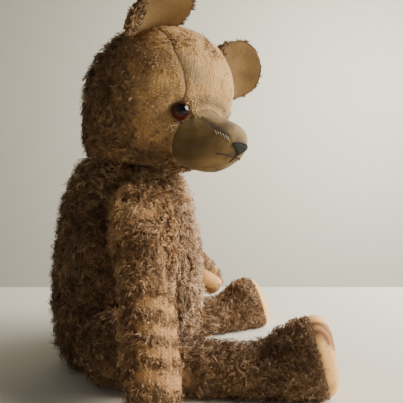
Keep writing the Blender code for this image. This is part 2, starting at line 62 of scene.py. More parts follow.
# The muzzle: its seam's ends on the profile, its half width, its half heights, and how round its corners are
SEAM_BRIDGE = np.array((0.103, 0.0, 0.060))
SEAM_JAW = np.array((0.073, 0.0, -0.002))
MUZZLE_WIDTH = 0.044
MUZZLE_HEIGHT = {"above": 0.0345, "below": 0.0400}
MUZZLE_ROUND = 0.0022
VELVET_THICK = 0.0009
NOSE_HALF = 0.0108

# A place before the face that threads are laid on it from, and the muzzle's own axis, in the head's frame
BEFORE_FACE = 0.19
MUZZLE_AXIS = 0.022

# The angle in degrees round the profile, below the horizontal, where the gusset's seams end
GUSSET_END = -40

# The left eye, which faces outward; the right one is its mirror image
EYE_SPOT = (0.0908, 0.0354, 0.0468)
EYE_OUTWARD = (math.cos(math.radians(34)), math.sin(math.radians(34)), 0)
EYE_RADIUS = 0.008

# The ears: where they stand, how they nod and turn, their dish, their rolled rims, and a last lean and shift
EAR_SPOT = {"right": (0.071, 0.060, 0.131), "left": (0.079, 0.066, 0.119)}
EAR_NOD = {"right": math.radians(58), "left": math.radians(20)}
EAR_TURN = math.radians(27)
EAR_RADIUS = 0.0295
EAR_CUP = 0.008
EAR_SINK = 0.0012
EAR_STEPS = 25
EAR_ROLL = {"right": 0.78, "left": 1.10}
EAR_SET = {"right": (0.13, 0.0), "left": (0.0, -0.0035)}

# The pads: the palms' ovals, with their half lengths and half widths, and the soles' seams. A pad's face
# stands proud of the skin, and rolls and falls to its edge. The waves set how close the rust's strokes lie.
PALM_SPOT = (0.142, 0.033, 0.001)
PALM_SIZE = {"right": (0.030, 0.0195), "left": (0.038, 0.0310)}
PALM_TURN = math.radians(62)
PALM_LEAN = math.radians(20)
SOLE_SEAM = 0.176
SOLE_LEAN = math.radians(14)
FOOT_LEAN = {"right": -0.007, "left": 0.014}
FELT_THICK = 0.0008
PATCH_PROUD = 0.0006
PATCH_ROLL = 0.0012
PATCH_FALL = 0.0010
STITCH_STEP = 0.0042
RUST_WAVES = 1300

# The plugs that close the pins' and the eyes' holes: radius, how far out or back they are set, and depth
PIN_PLUG = 0.0036
PIN_PLUG_OUT = 0.0015
EYE_PLUG = 0.0088
EYE_PLUG_BACK = 0.0030
PLUG_DEPTH = 0.0024

# The room that a cloth keeps over its stuffing
STUFFING_GAP = 0.0010

# Each skin's grain, its rounds of smoothing, and the share of them held back where its end is firm, with the
# places along the body where that starts and is full
STUFFING = {"torso": (0.0025, 90, (0.0, 0.0, 1.0)), "head": (0.0018, 110, (0.86, 0.085, 0.108)),
            "arm": (0.0018, 60, (0.7, 0.100, 0.130)), "leg": (0.0020, 50, (0.8, 0.150, 0.170))}

# Each kind of pile: its blades, a blade's width, lift, curl and swirl, the depth of its root, the blades in a
# lock, and the half width of a lock at its root
PILE = {
    "torso half": (20500, 0.00070, 0.60, 0.26, 1.3, 0.0010, 6, 0.0013),
    "head": (20000, 0.00066, 0.55, 0.24, 1.2, 0.0008, 6, 0.0012),
    "worn head": (6500, 0.00042, 0.30, 0.16, 1.2, 0.0004, 4, 0.0008),
    "arm": (14000, 0.00066, 0.48, 0.26, 1.4, 0.0009, 5, 0.0012),
    "leg": (16500, 0.00066, 0.48, 0.26, 1.4, 0.0009, 5, 0.0012),
    "ear": (3200, 0.00085, 0.42, 0.16, 0.8, 0.0006, 6, 0.0008),
    "ear roll": (1600, 0.00080, 0.30, 0.20, 0.8, 0.0006, 6, 0.0010),
}

# The threads' radii, the length of one turn of their plies, and how much of the radius is left at their ends
THREAD = {"frayed": 0.00030, "nose": 0.00078, "nose edge": 0.0008, "below nose": 0.00052, "mouth": 0.00055,
          "mending": 0.00028, "muzzle seam": 0.00034, "gusset seam": 0.00035, "pad stitch": 0.00030}
PLY_LENGTH = 0.0011
THREAD_END = 0.45

# The view and the stage
CAMERA_PLACE = (0.0040, -0.4367, 0.167)
SENSOR_WIDTH = 36.0
LENS_LENGTH = 36.09
STAGE_TURN = Matrix.Rotation(math.radians(-9.5), 3, "Z")
TABLE_EDGE = 0.359
WALL_PLACE = 1.6


# ---------------------------------------------------------------- frames, noise and small helpers


def unit(vectors):
    """Scale vectors to length one."""
    vectors = np.asarray(vectors, float)
    return vectors / np.maximum(np.linalg.norm(vectors, axis=-1, keepdims=True), 1e-12)


def mirrored(points, side):
    """Give points of the left side, or their mirror images on the right."""
    return np.array(points, float) * (1, side, 1)


def head_frame():
    """Give the head's origin and its axes as columns."""
    joint = JOINTS["neck_turn"]
    up = unit(joint["axis"])
    ahead = unit((up[2], 0, -up[0]))
    front = ahead * math.cos(HEAD_TURN) + np.cross(up, ahead) * math.sin(HEAD_TURN)
    return np.array(joint["pos_m"], float), np.stack((front, np.cross(up, front), up), 1)


def limb_frame(joint_name, forward=None):
    """Give a limb's origin and its axes as columns; an arm hangs down and then swings forward."""
    joint = JOINTS[joint_name]
    across = unit(joint["axis"])
    if forward is None:
        along = unit(np.cross(across, (0, 0, 1)))
    else:
        down = np.array((0.0, 0.0, -1.0))
        down = unit(down - across * (down @ across))
        along = down * math.cos(forward) + np.cross(down, across) * math.sin(forward)
    return np.array(joint["pos_m"], float), np.stack((along, across, np.cross(along, across)), 1)


FRAMES = {"head": head_frame(), "torso": (np.zeros(3), np.eye(3))}
for side_name in SIDES:
    FRAMES["arm_" + side_name] = limb_frame(f"shoulder_{side_name}_swing", ARM_FORWARD[side_name])
    FRAMES["leg_" + side_name] = limb_frame(f"hip_{side_name}_swing")


def to_local(points, place):
    """Take points of the row's frame into a body's own frame."""
    origin, turn = FRAMES[place]
    return (np.asarray(points, float) - origin) @ turn


def to_world(points, place):
    """Take points of a body's own frame into the row's frame."""
    origin, turn = FRAMES[place]
    return np.asarray(points, float) @ turn.T + origin


def turn_to_world(vectors, place):
    """Take directions of a body's own frame into the row's frame."""
    return np.asarray(vectors, float) @ FRAMES[place][1].T


def ease(values, low, high):
    """Rise smoothly from 0 at low to 1 at high; it falls where low is above high."""
    share = np.clip((np.asarray(values, float) - low) / (high - low), 0, 1)
    return share * share * (3 - 2 * share)


def lattice(cells, seed):
    """Give each whole-numbered cell its own value from 0 to 1."""
    mixed = cells[..., 0] * 73856093 ^ cells[..., 1] * 19349663 ^ cells[..., 2] * 83492791 ^ seed * 2971
    mixed = (mixed ^ (mixed >> 13)) * 1274126177 & 0x7FFFFFFF
    mixed = (mixed ^ (mixed >> 11)) * 668265263 & 0x7FFFFFFF
    return ((mixed >> 8) & 0xFFFF) / 65535.0


def cloud(points, size, seed, layers=1):
    """Give smooth noise from 0 to 1 that varies over a size."""
    total = np.zeros(len(points))
    weight = 0.0
    for layer in range(layers):
        scaled = np.asarray(points, float) / (size / 2 ** layer) + 37.3 * (seed + layer)
        cells = np.floor(scaled).astype(np.int64)
        part = scaled - cells
        part = part * part * (3 - 2 * part)
        value = np.zeros(len(points))
        for corner in range(8):
            step = np.array((corner & 1, corner >> 1 & 1, corner >> 2 & 1))
            share = np.prod(np.where(step, part, 1 - part), axis=1)
            value += share * lattice(cells + step, seed + layer)
        total += value / 2 ** layer
        weight += 1 / 2 ** layer
    return total / weight


def patchy(points, size, seed, low, high):
    """Give soft patches: 1 where the noise of a size is over high, and 0 where it is under low."""
    return ease(cloud(points, size, seed, 2), low, high)


def curve_at(values, knots):
    """Read a profile given as pairs of position and value."""
    return np.interp(values, *zip(*knots))


def ridge(values, half):
    """Rise to 1 where values are 0, over a width of about twice the half."""
    return np.exp(-(values / half) ** 2)


def add_object(name, data):
    """Make an object from its data and put it in the scene."""
    made = bpy.data.objects.new(name, data)
    bpy.context.scene.collection.objects.link(made)
    return made


def tree_of(thing):
    """Give a search tree of an object's surface."""
    return BVHTree.FromPolygons([thing.matrix_world @ vert.co for vert in thing.data.vertices],
                                [tuple(face.vertices) for face in thing.data.polygons])


# ---------------------------------------------------------------- skins


def links_of(faces):
    """Give each edge of the faces once."""
    count = faces.shape[1]
    pairs = np.concatenate([faces[:, (index, (index + 1) % count)] for index in range(count)])
    return np.unique(np.sort(pairs, axis=1), axis=0)


def relax(values, links, rounds, share=0.5):
    """Average values over neighbours a number of times."""
    values = np.array(values, float)
    flat = values.reshape(len(values), -1)
    share = np.broadcast_to(np.asarray(share, float).reshape(-1, 1), (len(values), 1))
    first, second = links.T
    count = np.bincount(np.concatenate((first, second)), minlength=len(values))[:, None]
    for _ in range(rounds):
        total = np.stack([
            np.bincount(first, flat[second, axis], len(values))
            + np.bincount(second, flat[first, axis], len(values))
            for axis in range(flat.shape[1])], 1)
        flat = flat + share * (total / count - flat)
    return flat.reshape(values.shape)


def normals_of(points, faces):
    """Give each point's normal from its quads."""
    corner = points[faces]
    face_normals = np.cross(corner[:, 2] - corner[:, 0], corner[:, 3] - corner[:, 1])
    total = np.zeros_like(points)
    for index in range(4):
        for axis in range(3):
            total[:, axis] += np.bincount(faces[:, index], face_normals[:, axis], len(points))
    return unit(total)


def merged(nodes, plugs):
    """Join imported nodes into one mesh, with a round plug over each hole."""
    joined = bmesh.new()
    for name in nodes:
        joined.from_mesh(NODES[name].data)
    for place, axis, radius in plugs:
        turn = Vector(axis).to_track_quat("Z", "Y").to_matrix().to_4x4()
        bmesh.ops.create_cone(
            joined, cap_ends=True, segments=12, radius1=radius, radius2=radius, depth=PLUG_DEPTH,
            matrix=Matrix.Translation(Vector(place)) @ turn)
    mesh = bpy.data.meshes.new("form")
    joined.to_mesh(mesh)
    joined.free()
    return mesh


def outer_part(points, faces):
    """Keep the part of a remeshed form that holds its highest point."""
    links = links_of(faces)
    label = np.arange(len(points))
    while True:
        lowest = label.copy()
        np.minimum.at(lowest, links[:, 0], label[links[:, 1]])
        np.minimum.at(lowest, links[:, 1], label[links[:, 0]])
        lowest = lowest[lowest]
        if np.array_equal(lowest, label):
            break
        label = lowest
    kept = label == label[np.argmax(points[:, 2])]
    number = np.cumsum(kept) - 1
    return points[kept], number[faces[kept[faces[:, 0]]]]


def remeshed(nodes, plugs, grain):
    """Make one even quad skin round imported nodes."""
    holder = add_object("form", merged(nodes, plugs))
    modifier = holder.modifiers.new("even", "REMESH")
    modifier.mode = "VOXEL"
    modifier.voxel_size = grain
    graph = bpy.context.evaluated_depsgraph_get()
    mesh = bpy.data.meshes.new_from_object(holder.evaluated_get(graph))
    points = np.empty(len(mesh.vertices) * 3, np.float32)
    mesh.vertices.foreach_get("co", points)
    faces = np.empty(len(mesh.loops), np.int32)
    mesh.loops.foreach_get("vertex_index", faces)
    bpy.data.objects.remove(holder)
    return outer_part(points.reshape(-1, 3).astype(float), faces.reshape(-1, 4).astype(np.int64))


class Skin:
    """A stuffed form's surface with what is painted on it."""

    def __init__(self, place, points, faces):
        self.place = place
        self.points = np.asarray(points, float)
        self.faces = np.asarray(faces, int)
        self.links = links_of(self.faces)
        self.values = {}
        self.update()

    def update(self):
        """Refresh what follows from the points."""
        self.normals = normals_of(self.points, self.faces)
        self.local = to_local(self.points, self.place)

    def push(self, heights):
        """Move the surface along its normals."""
        self.points = self.points + self.normals * np.asarray(heights)[:, None]
        self.update()

    def tree(self):
        """Give a search tree of the surface."""
        return BVHTree.FromPolygons([Vector(p) for p in self.points], self.faces.tolist())


def nearest(tree, points):
    """Give the surface's nearest spot to each point, its normal there and the point's height over it."""
    for point in points:
        spot, normal, _, _ = tree.find_nearest(Vector(point))
        yield spot, normal, (Vector(point) - spot).dot(normal)


def pin_plugs(*joints):
    """Give the plugs of the pin holes, each from a joint's name and the sign of its outward axis."""
    plugs = []
    for joint_name, outward in joints:
        joint = JOINTS[joint_name]
        axis = unit(joint["axis"]) * outward
        plugs.append((np.array(joint["pos_m"]) + axis * PIN_PLUG_OUT, axis, PIN_PLUG))
    return plugs


def stuffed(place, nodes, plugs):
    """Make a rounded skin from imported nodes, with less smoothing where the body's end is firm."""
    grain, rounds, (held, start, full) = STUFFING[place.split("_")[0]]
    points, faces = remeshed(nodes, plugs, grain)
    links = links_of(faces)
    share = 0.5 * (1 - held * ease(to_local(points, place)[:, 0], start, full))
    smooth = relax(points, links, rounds, share)
    normals = normals_of(smooth, faces)
    lost = relax(np.sum((points - smooth) * normals, axis=1), links, rounds, 0.5)
    return Skin(place, smooth + normals * lost[:, None], faces)


def keep_over(skin, node_name):
    """Keep a skin just outside the stuffing that it covers."""
    tree = tree_of(NODES[node_name])
    for share in (1.0, 0.0):
        moved = np.zeros_like(skin.points)
        for number, (_, normal, height) in enumerate(nearest(tree, skin.points)):
            if height < STUFFING_GAP:
                moved[number] = np.array(normal) * (STUFFING_GAP - height)
        skin.points += share * relax(moved, skin.links, 4, 0.5) + (1 - share) * moved
    skin.update()


def settle(points):
    """Keep points on or above the surface that the bear sits on."""
    points[:, 2] = np.maximum(points[:, 2], 0.0)
    return points


def mesh_object(name, points, faces, values=None):
    """Make an object from points, faces and values painted on the points."""
    mesh = bpy.data.meshes.new(name)
    mesh.from_pydata(np.asarray(points).tolist(), [], faces if isinstance(faces, list) else faces.tolist())
    for key, value in (values or {}).items():
        value = np.asarray(value, np.float32)
        kind, field = ("FLOAT_VECTOR", "vector") if value.ndim == 2 else ("FLOAT", "value")
        mesh.attributes.new(key, kind, "POINT").data.foreach_set(field, value.ravel())
    mesh.shade_smooth()
    mesh.validate()
    return add_object(name, mesh)


def dress(piece, body, material, nodes=()):
    """Give a piece its material and body, and hide the nodes it stands for."""
    piece.data.materials.clear()
    piece.data.materials.append(MATERIALS[material])
    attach(piece, body)
    if nodes:
        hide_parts(*nodes)
    return piece


def cut_patch(skin, field, name, thick, paint_name):
    """Cut a patch out of a skin where field is positive; it keeps one painted value and has a rolled edge."""
    made = bmesh.new()
    layer = made.verts.layers.float.new("field")
    store = made.verts.layers.float.new(paint_name)
    covered = skin.faces[(field[skin.faces] > 0).any(axis=1)]
    verts = {}
    for index in np.unique(covered):
        vert = verts[index] = made.verts.new(skin.points[index])
        vert[layer] = field[index]
        vert[store] = skin.values[paint_name][index]
    for face in covered:
        made.faces.new([verts[index] for index in face])
    fresh = []
    for edge in list(made.edges):
        first, second = edge.verts
        low, high = first[layer], second[layer]
        if low * high < 0:
            share = low / (low - high)
            kept = first[store] * (1 - share) + second[store] * share
            _, vert = bmesh.utils.edge_split(edge, first, share)
            vert[layer] = 0.0
            vert[store] = kept
            fresh.append(vert)
    bmesh.ops.connect_verts(made, verts=fresh)
    outside = [face for face in made.faces if sum(vert[layer] for vert in face.verts) < 0]
    bmesh.ops.delete(made, geom=outside, context="FACES")
    made.verts.ensure_lookup_table()
    made.verts.index_update()
    points = np.array([vert.co for vert in made.verts])
    depth = np.array([vert[layer] for vert in made.verts])
    normals = np.array([vert.normal for vert in made.verts])
    painted = np.array([vert[store] for vert in made.verts])
    faces = [[vert.index for vert in face.verts] for face in made.faces]
    turn = {}
    for edge in made.edges:
        if edge.is_boundary:
            loop = edge.link_loops[0]
            turn[loop.vert.index] = loop.link_loop_next.vert.index
    made.free()
    rolled = np.exp(-np.maximum(depth, 0) / PATCH_ROLL)
    top = points + normals * (PATCH_PROUD - PATCH_FALL * rolled)[:, None]
    under = points - normals * thick
    count = len(points)
    faces = faces + [[index + count for index in reversed(face)] for face in faces]
    faces += [[after, before, before + count, after + count] for before, after in turn.items()]
    values = {paint_name: np.tile(painted, 2), "edge": np.tile(depth, 2)}
    return mesh_object(name, settle(np.concatenate((top, under))), faces, values)


# ---------------------------------------------------------------- pile


def grow(name, skin, kind, material, density, length, flow, shade, seed):
    """Grow locks of one kind of pile on a skin and dress them.

    The density, length, flow and shade are given for each of the skin's points.
    """
    count, width, lift, curl, swirl, sink, lock, spread = PILE[kind]
    rng = np.random.default_rng(seed)
    locks = count // lock
    member = np.repeat(np.arange(locks), lock)
    count = len(member)
    tris = np.concatenate((skin.faces[:, (0, 1, 2)], skin.faces[:, (0, 2, 3)]))
    corner = skin.points[tris]
    area = np.linalg.norm(np.cross(corner[:, 1] - corner[:, 0], corner[:, 2] - corner[:, 0]), axis=1)
    chance = np.cumsum(area * np.asarray(density, float)[tris].mean(axis=1))
    picked = tris[np.searchsorted(chance, rng.random(locks) * chance[-1])]
    first, second = rng.random(locks), rng.random(locks)
    flip = first + second > 1
    first[flip], second[flip] = 1 - first[flip], 1 - second[flip]
    shares = np.stack((1 - first - second, first, second), 1)[:, :, None]

    def read(values):
        values = np.asarray(values, float)
        corners = values[picked] if values.ndim == 2 else values[picked][:, :, None]
        return np.sum(corners * shares, axis=1)

    def vary(amount):
        return rng.normal(0, amount, count)

    middle = read(skin.points)
    normal = unit(read(skin.normals))
    lie = read(flow)
    lie = unit(lie - normal * np.sum(lie * normal, axis=1, keepdims=True))
    side = np.cross(normal, lie)
    veer = swirl * (2 * cloud(middle, 0.016, seed, 2) - 1) * 2.2 + rng.normal(0, 0.5, locks)
    cosine, sine = np.cos(veer)[:, None], np.sin(veer)[:, None]
    lie, side = lie * cosine + side * sine, side * cosine - lie * sine
    rise = lift * (0.45 + 1.1 * cloud(middle, 0.011, seed + 5)) + rng.normal(0, 0.16, locks)
    tall = read(length)[:, 0] * (0.8 + 0.4 * rng.random(locks))
    phase = (rng.random(locks) * 2 * math.pi)[member] + vary(0.35)
    turns = (0.6 + 0.7 * rng.random(locks))[member] + vary(0.06)
    reach = tall[member] * (0.75 + 0.5 * rng.random(count))
    rise = np.clip(rise[member] + vary(0.12), 0.05, 1.3)
    wave = curl * (0.6 + 0.8 * rng.random(locks))[member] * reach
    normal, lie, side = normal[member], lie[member], side[member]
    aside = side * vary(spread)[:, None] + lie * vary(spread)[:, None]
    stations = np.array((0.0, 0.36, 0.70, 1.0))
    widths = np.array((0.85, 1.0, 0.7))
    path = []
    for station in stations:
        angle = 2 * math.pi * turns * station + phase
        climb = np.sin(rise) * station - 0.32 * lift * station ** 2
        step = aside * (1 - 0.55 * station) + lie * (np.cos(rise) * station * reach)[:, None]
        step += normal * (climb * reach - sink * (station == 0))[:, None]
        step += side * ((np.sin(angle) - np.sin(phase)) * wave)[:, None]
        step += normal * ((np.cos(angle) - np.cos(phase)) * wave * 0.45)[:, None]
        path.append(middle[member] + step)
    path = np.stack(path, 1)
    roll = vary(0.8)
    flat = unit(side * np.cos(roll)[:, None] + normal * np.sin(roll)[:, None])
    half = 0.5 * width * (0.7 + 0.6 * rng.random(count))
    # A blade is two quads and a tip, over seven points
    points = np.empty((count, 7, 3))
    for index in range(3):
        points[:, 2 * index] = path[:, index] - flat * (half * widths[index])[:, None]
        points[:, 2 * index + 1] = path[:, index] + flat * (half * widths[index])[:, None]
    points[:, 6] = path[:, 3]
    flat_points = points.reshape(-1, 3)
    floor = 0.0004 + 0.0016 * rng.random(len(flat_points))
    flat_points[:, 2] = np.where(flat_points[:, 2] < floor, floor, flat_points[:, 2])
    base = (np.arange(count) * 7)[:, None]
    loops = np.concatenate((base + (0, 1, 3, 2), base + (2, 3, 5, 4), base + (4, 5, 6)), axis=1)
    mesh = bpy.data.meshes.new(name)
    mesh.vertices.add(count * 7)
    mesh.vertices.foreach_set("co", flat_points.astype(np.float32).ravel())
    mesh.loops.add(count * 11)
    mesh.loops.foreach_set("vertex_index", loops.astype(np.int32).ravel())
    mesh.polygons.add(count * 3)
    starts = (np.arange(count) * 11)[:, None] + (0, 4, 8)
    mesh.polygons.foreach_set("loop_start", starts.astype(np.int32).ravel())
    mesh.update(calc_edges=True)
    mesh.shade_smooth()
    along = np.tile(np.repeat(stations, 2)[:7], count)
    tone = (read(shade)[:, 0] + rng.normal(0, 0.10, locks))[member] + vary(0.06)
    tone = np.clip(np.repeat(tone, 7) + 0.30 * (along - 0.45), 0, 1)
    mesh.attributes.new("tone", "FLOAT", "POINT").data.foreach_set("value", tone.astype(np.float32))
    return dress(add_object(name, mesh), skin.place, material)


# ---------------------------------------------------------------- materials


class Wires:
    """A short way to wire a node tree."""

    def __init__(self, tree):
        self.tree = tree

    def add(self, kind, **settings):
        """Add a shader node."""
        node = self.tree.nodes.new("ShaderNode" + kind)
        for key, value in settings.items():
            setattr(node, key, value)
        return node

    def put(self, socket, value):
        """Link or set a socket."""
        if isinstance(value, bpy.types.NodeSocket):
            self.tree.links.new(value, socket)
        elif isinstance(value, tuple) and len(value) == 3 and socket.type == "RGBA":
            socket.default_value = (*value, 1.0)
        else:
            socket.default_value = value

    def math(self, operation, first, second=0.0):
        """Do one sum."""
        node = self.add("Math", operation=operation)
        self.put(node.inputs[0], first)
        self.put(node.inputs[1], second)
        return node.outputs[0]

    def times(self, first, second):
        """Multiply two values."""
        return self.math("MULTIPLY", first, second)

    def plus(self, first, second):
        """Add two values."""
        return self.math("ADD", first, second)

    def about(self, value, middle, share):
        """Give a share of a value, measured from its middle."""
        return self.times(self.math("SUBTRACT", value, middle), share)

    def over(self, colour, *layers):
        """Lay colours over a colour, each with the share that it covers."""
        for share, upper in layers:
            node = self.add("Mix", data_type="RGBA")
            self.put(node.inputs[0], share)
            self.put(node.inputs[6], colour)
            self.put(node.inputs[7], upper)
            colour = node.outputs[2]
        return colour

    def rise(self, value, low, high, start=0.0, end=1.0):
        """Turn a value from low to high into one from start to end, smoothly."""
        node = self.add("MapRange", interpolation_type="SMOOTHSTEP")
        for index, amount in enumerate((value, low, high, start, end)):
            self.put(node.inputs[index], amount)
        return node.outputs[0]

    def noise(self, place, scale, detail=2.0, rough=0.5, bend=0.0):
        """Give noise of so many waves in a metre."""
        node = self.add("TexNoise")
        self.put(node.inputs["Vector"], place)
        for key, amount in (("Scale", scale), ("Detail", detail), ("Roughness", rough), ("Distortion", bend)):
            node.inputs[key].default_value = amount
        return node.outputs[0]

    def ramp(self, value, *stops):
        """Colour a value by stops of a position and a colour."""
        node = self.add("ValToRGB")
        self.put(node.inputs[0], value)
        marks = node.color_ramp.elements
        while len(marks) < len(stops):
            marks.new(0.5)
        for mark, (position, colour) in zip(marks, stops):
            mark.position = position
            mark.color = (*colour, 1.0)
        return node.outputs[0]

    def painted(self, name, vector=False):
        """Read a value painted on the mesh."""
        node = self.add("Attribute", attribute_name=name)
        return node.outputs[1] if vector else node.outputs[2]

    def place(self):
        """Give the piece's own coordinates."""
        return self.add("TexCoord").outputs["Object"]

    def apart(self, vector):
        """Take a vector apart into its three numbers."""
        node = self.add("SeparateXYZ")
        self.put(node.inputs[0], vector)
        return node.outputs

    def bump(self, height, distance):
        """Turn a height of 0 to 1 into a normal."""
        node = self.add("Bump")
        node.inputs["Strength"].default_value = 1.0
        node.inputs["Distance"].default_value = distance
        self.put(node.inputs["Height"], height)
        return node.outputs[0]

    def group(self, effect, **values):
        """Use a shared effect."""
        node = self.add("Group", node_tree=EFFECTS[effect])
        for key, value in values.items():
            self.put(node.inputs[key], value)
        return node.outputs


def shared_effect(name, inputs, outputs):
    """Start a node group; give it with its wires, its inputs and its output node."""
    tree = bpy.data.node_groups.new(name, "ShaderNodeTree")
    for key, kind, start in inputs:
        made = tree.interface.new_socket(key, in_out="INPUT", socket_type="NodeSocket" + kind)
        if start is not None:
            made.default_value = start
    for key, kind in outputs:
        tree.interface.new_socket(key, in_out="OUTPUT", socket_type="NodeSocket" + kind)
    wires = Wires(tree)
    source = tree.nodes.new("NodeGroupInput").outputs
    target = tree.nodes.new("NodeGroupOutput").inputs
    return tree, wires, source, target


def lit_by(colour, share):
    """Give a colour with its light multiplied."""
    return tuple(channel * share for channel in colour)


def make_weave():
    """Make plain weave: a thread height, and how far a spot lies in the gaps between threads."""
    tree, wires, source, target = shared_effect(
        "plain weave", [("place", "Vector", None), ("threads", "Float", 540.0)],
        [("height", "Float"), ("gap", "Float")])
    bend = wires.noise(source["place"], 260.0, 1.0)
    waves = []
    for across in wires.apart(source["place"])[:2]:
        turned = wires.plus(wires.times(across, source["threads"]), wires.times(bend, 0.55))
        waves.append(wires.math("SINE", wires.times(turned, math.pi)))
    wires.put(target["height"], wires.plus(wires.times(wires.times(*waves), 0.5), 0.5))
    thin = wires.math("MINIMUM", *(wires.math("ABSOLUTE", wave) for wave in waves))
    wires.put(target["gap"], wires.rise(thin, 0.45, 0.05))
    return tree


def make_mottle():
    """Make soft uneven wear, in large clouds and in small ones."""
    tree, wires, source, target = shared_effect(
        "mottle", [("place", "Vector", None)], [("large", "Float"), ("small", "Float")])
    wires.put(target["large"], wires.rise(wires.noise(source["place"], 42.0, 3.0, 0.6), 0.34, 0.68))
    wires.put(target["small"], wires.rise(wires.noise(source["place"], 300.0, 3.0, 0.6), 0.3, 0.72))
    return tree


def make_nap():
    """Make the short nap of velvet and felt: a fine grain and a height."""
    tree, wires, source, target = shared_effect(
        "nap", [("place", "Vector", None)], [("grain", "Float"), ("height", "Float")])
    fine = wires.noise(source["place"], 1500.0, 2.0, 0.7)
    brushed = wires.noise(source["place"], 210.0, 3.0, 0.55, 0.6)
    wires.put(target["grain"], wires.rise(fine, 0.25, 0.75))
    wires.put(target["height"], wires.plus(wires.times(fine, 0.5), wires.times(brushed, 0.7)))
    return tree


def make_twist():
    """Make the plies of a twisted thread from a place along it and round it."""
    tree, wires, source, target = shared_effect(
        "thread twist", [("lay", "Vector", None)], [("ply", "Float")])
    along, around, _ = wires.apart(source["lay"])
    turned = wires.plus(wires.times(along, 2 * math.pi / PLY_LENGTH), wires.times(around, 2.0))
    wires.put(target["ply"], wires.rise(wires.math("SINE", turned), -0.9, 0.9))
    return tree


EFFECTS = {"weave": make_weave(), "mottle": make_mottle(), "nap": make_nap(), "twist": make_twist()}


class Finish(Wires):
    """A material; its constants are set on the shader's own sockets."""

    def __init__(self, name, roughness, **constants):
        self.material = bpy.data.materials.new(name)
        self.material.use_nodes = True
        super().__init__(self.material.node_tree)
        self.shader = self.tree.nodes["Principled BSDF"].inputs
        for key, value in {"Roughness": roughness, **constants}.items():
            self.put(self.shader[key.replace("_", " ")], value)

    def show(self, colour, height=None, depth=0.0):
        """Set the colour and the relief, and give the material."""
        self.put(self.shader["Base Color"], colour)
        if height is not None:
            self.put(self.shader["Normal"], self.bump(height, depth))
        return self.material


def plush_cloth(name, backing, dark_pile, seam_colour):
    """Make woven backing that shows where the pile is worn, and matted pile where it isn't."""
    cloth = Finish(name, 0.92, Sheen_Weight=0.08, Sheen_Roughness=0.5, Sheen_Tint=(0.9, 0.68, 0.42))
    threads, gap = cloth.group("weave", place=cloth.painted("cloth", True))
    large, small = cloth.group("mottle", place=cloth.place())
    rubbed = tuple(channel * share for channel, share in zip(backing, (0.42, 0.36, 0.30)))
    worn = cloth.over(
        backing,
        (cloth.times(large, 0.55), lit_by(backing, 0.62)),
        (cloth.times(small, 0.20), (0.70, 0.46, 0.24)),
        (cloth.times(gap, 0.62), lit_by(backing, 0.30)),
        (cloth.times(cloth.painted("fuzz"), cloth.rise(small, -0.5, 0.9, 0.25, 1.0)), rubbed),
        (cloth.painted("rust"), (0.28, 0.095, 0.030)),
        (cloth.painted("grey"), (0.135, 0.098, 0.058)))
    matted = cloth.over(dark_pile, (small, lit_by(dark_pile, 2.0)))
    pile = cloth.rise(cloth.plus(cloth.painted("pile"), cloth.about(small, 0.5, 0.55)), 0.18, 0.72)
    seam = cloth.math("ABSOLUTE", cloth.painted("seam"))
    shown = cloth.over(
        worn,
        (pile, matted),
        (cloth.rise(seam, 0.0009, 0.0003), seam_colour),
        (cloth.rise(seam, 0.0042, 0.0006, 0.0, 0.35), lit_by(backing, 0.35)))
    return cloth.show(shown, cloth.plus(cloth.times(threads, 0.5), small), 0.0005)


def pile_hair(name, dark, middle, light):
    """Make mohair locks from their painted tone."""
    hair = Finish(name, 0.60, Sheen_Weight=0.06, Sheen_Roughness=0.4)
    patch = hair.noise(hair.place(), 60.0, 2.0)
    tone = hair.plus(hair.painted("tone"), hair.about(patch, 0.5, 0.3))
    return hair.show(hair.ramp(tone, (0.12, dark), (0.5, middle), (0.9, light)))


def velvet(name, body, worn, dark, edge_reach):
    """Make worn velvet, rubbed thin in clouds and darker at its sewn edge."""
    cloth = Finish(name, 0.82, Sheen_Weight=0.22, Sheen_Roughness=0.35, Sheen_Tint=(0.80, 0.66, 0.40))
    place = cloth.place()
    large, _ = cloth.group("mottle", place=place)
    grain, height = cloth.group("nap", place=place)
    # The painted grey value darkens the velvet: on the muzzle it is soil, and painted shade on the lower
    # sides.
    shown = cloth.over(
        body,
        (cloth.times(large, 0.8), worn),
        (cloth.times(grain, 0.35), dark),
        (cloth.rise(cloth.painted("edge"), edge_reach, 0.0004, 0.0, 0.40), dark),
        (cloth.painted("grey"), dark))
    return cloth.show(shown, height, 0.0007)


def pad_felt(name):
    """Make cream felt with brown spots, thin places, rust stains and a dirty edge."""
    felt = Finish(name, 0.94, Sheen_Weight=0.05, Sheen_Roughness=0.6)
    place = felt.place()
    large, _ = felt.group("mottle", place=place)
    grain, height = felt.group("nap", place=place)
    spots = felt.rise(felt.noise(place, 230.0, 1.0), 0.66, 0.74)
    shown = felt.over(
        (0.88, 0.50, 0.155),
        (large, (0.78, 0.40, 0.105)),
        (felt.times(grain, 0.3), (0.56, 0.34, 0.15)),
        (spots, (0.30, 0.17, 0.09)),
        (felt.rise(felt.painted("edge"), 0.0035, 0.0003, 0.0, 0.6), (0.33, 0.20, 0.11)),
        (felt.painted("rust"), (0.155, 0.052, 0.020)))
    return felt.show(shown, height, 0.0006)


def thread(name, dark, light, roughness=0.7):
    """Make twisted sewing thread."""
    yarn = Finish(name, roughness)
    ply = yarn.group("twist", lay=yarn.painted("lay", True))["ply"]
    faded = yarn.rise(yarn.noise(yarn.place(), 320.0, 2.0), 0.35, 0.7)
    return yarn.show(yarn.over(dark, (faded, light), (yarn.times(ply, 0.5), light)), ply, 0.0002)


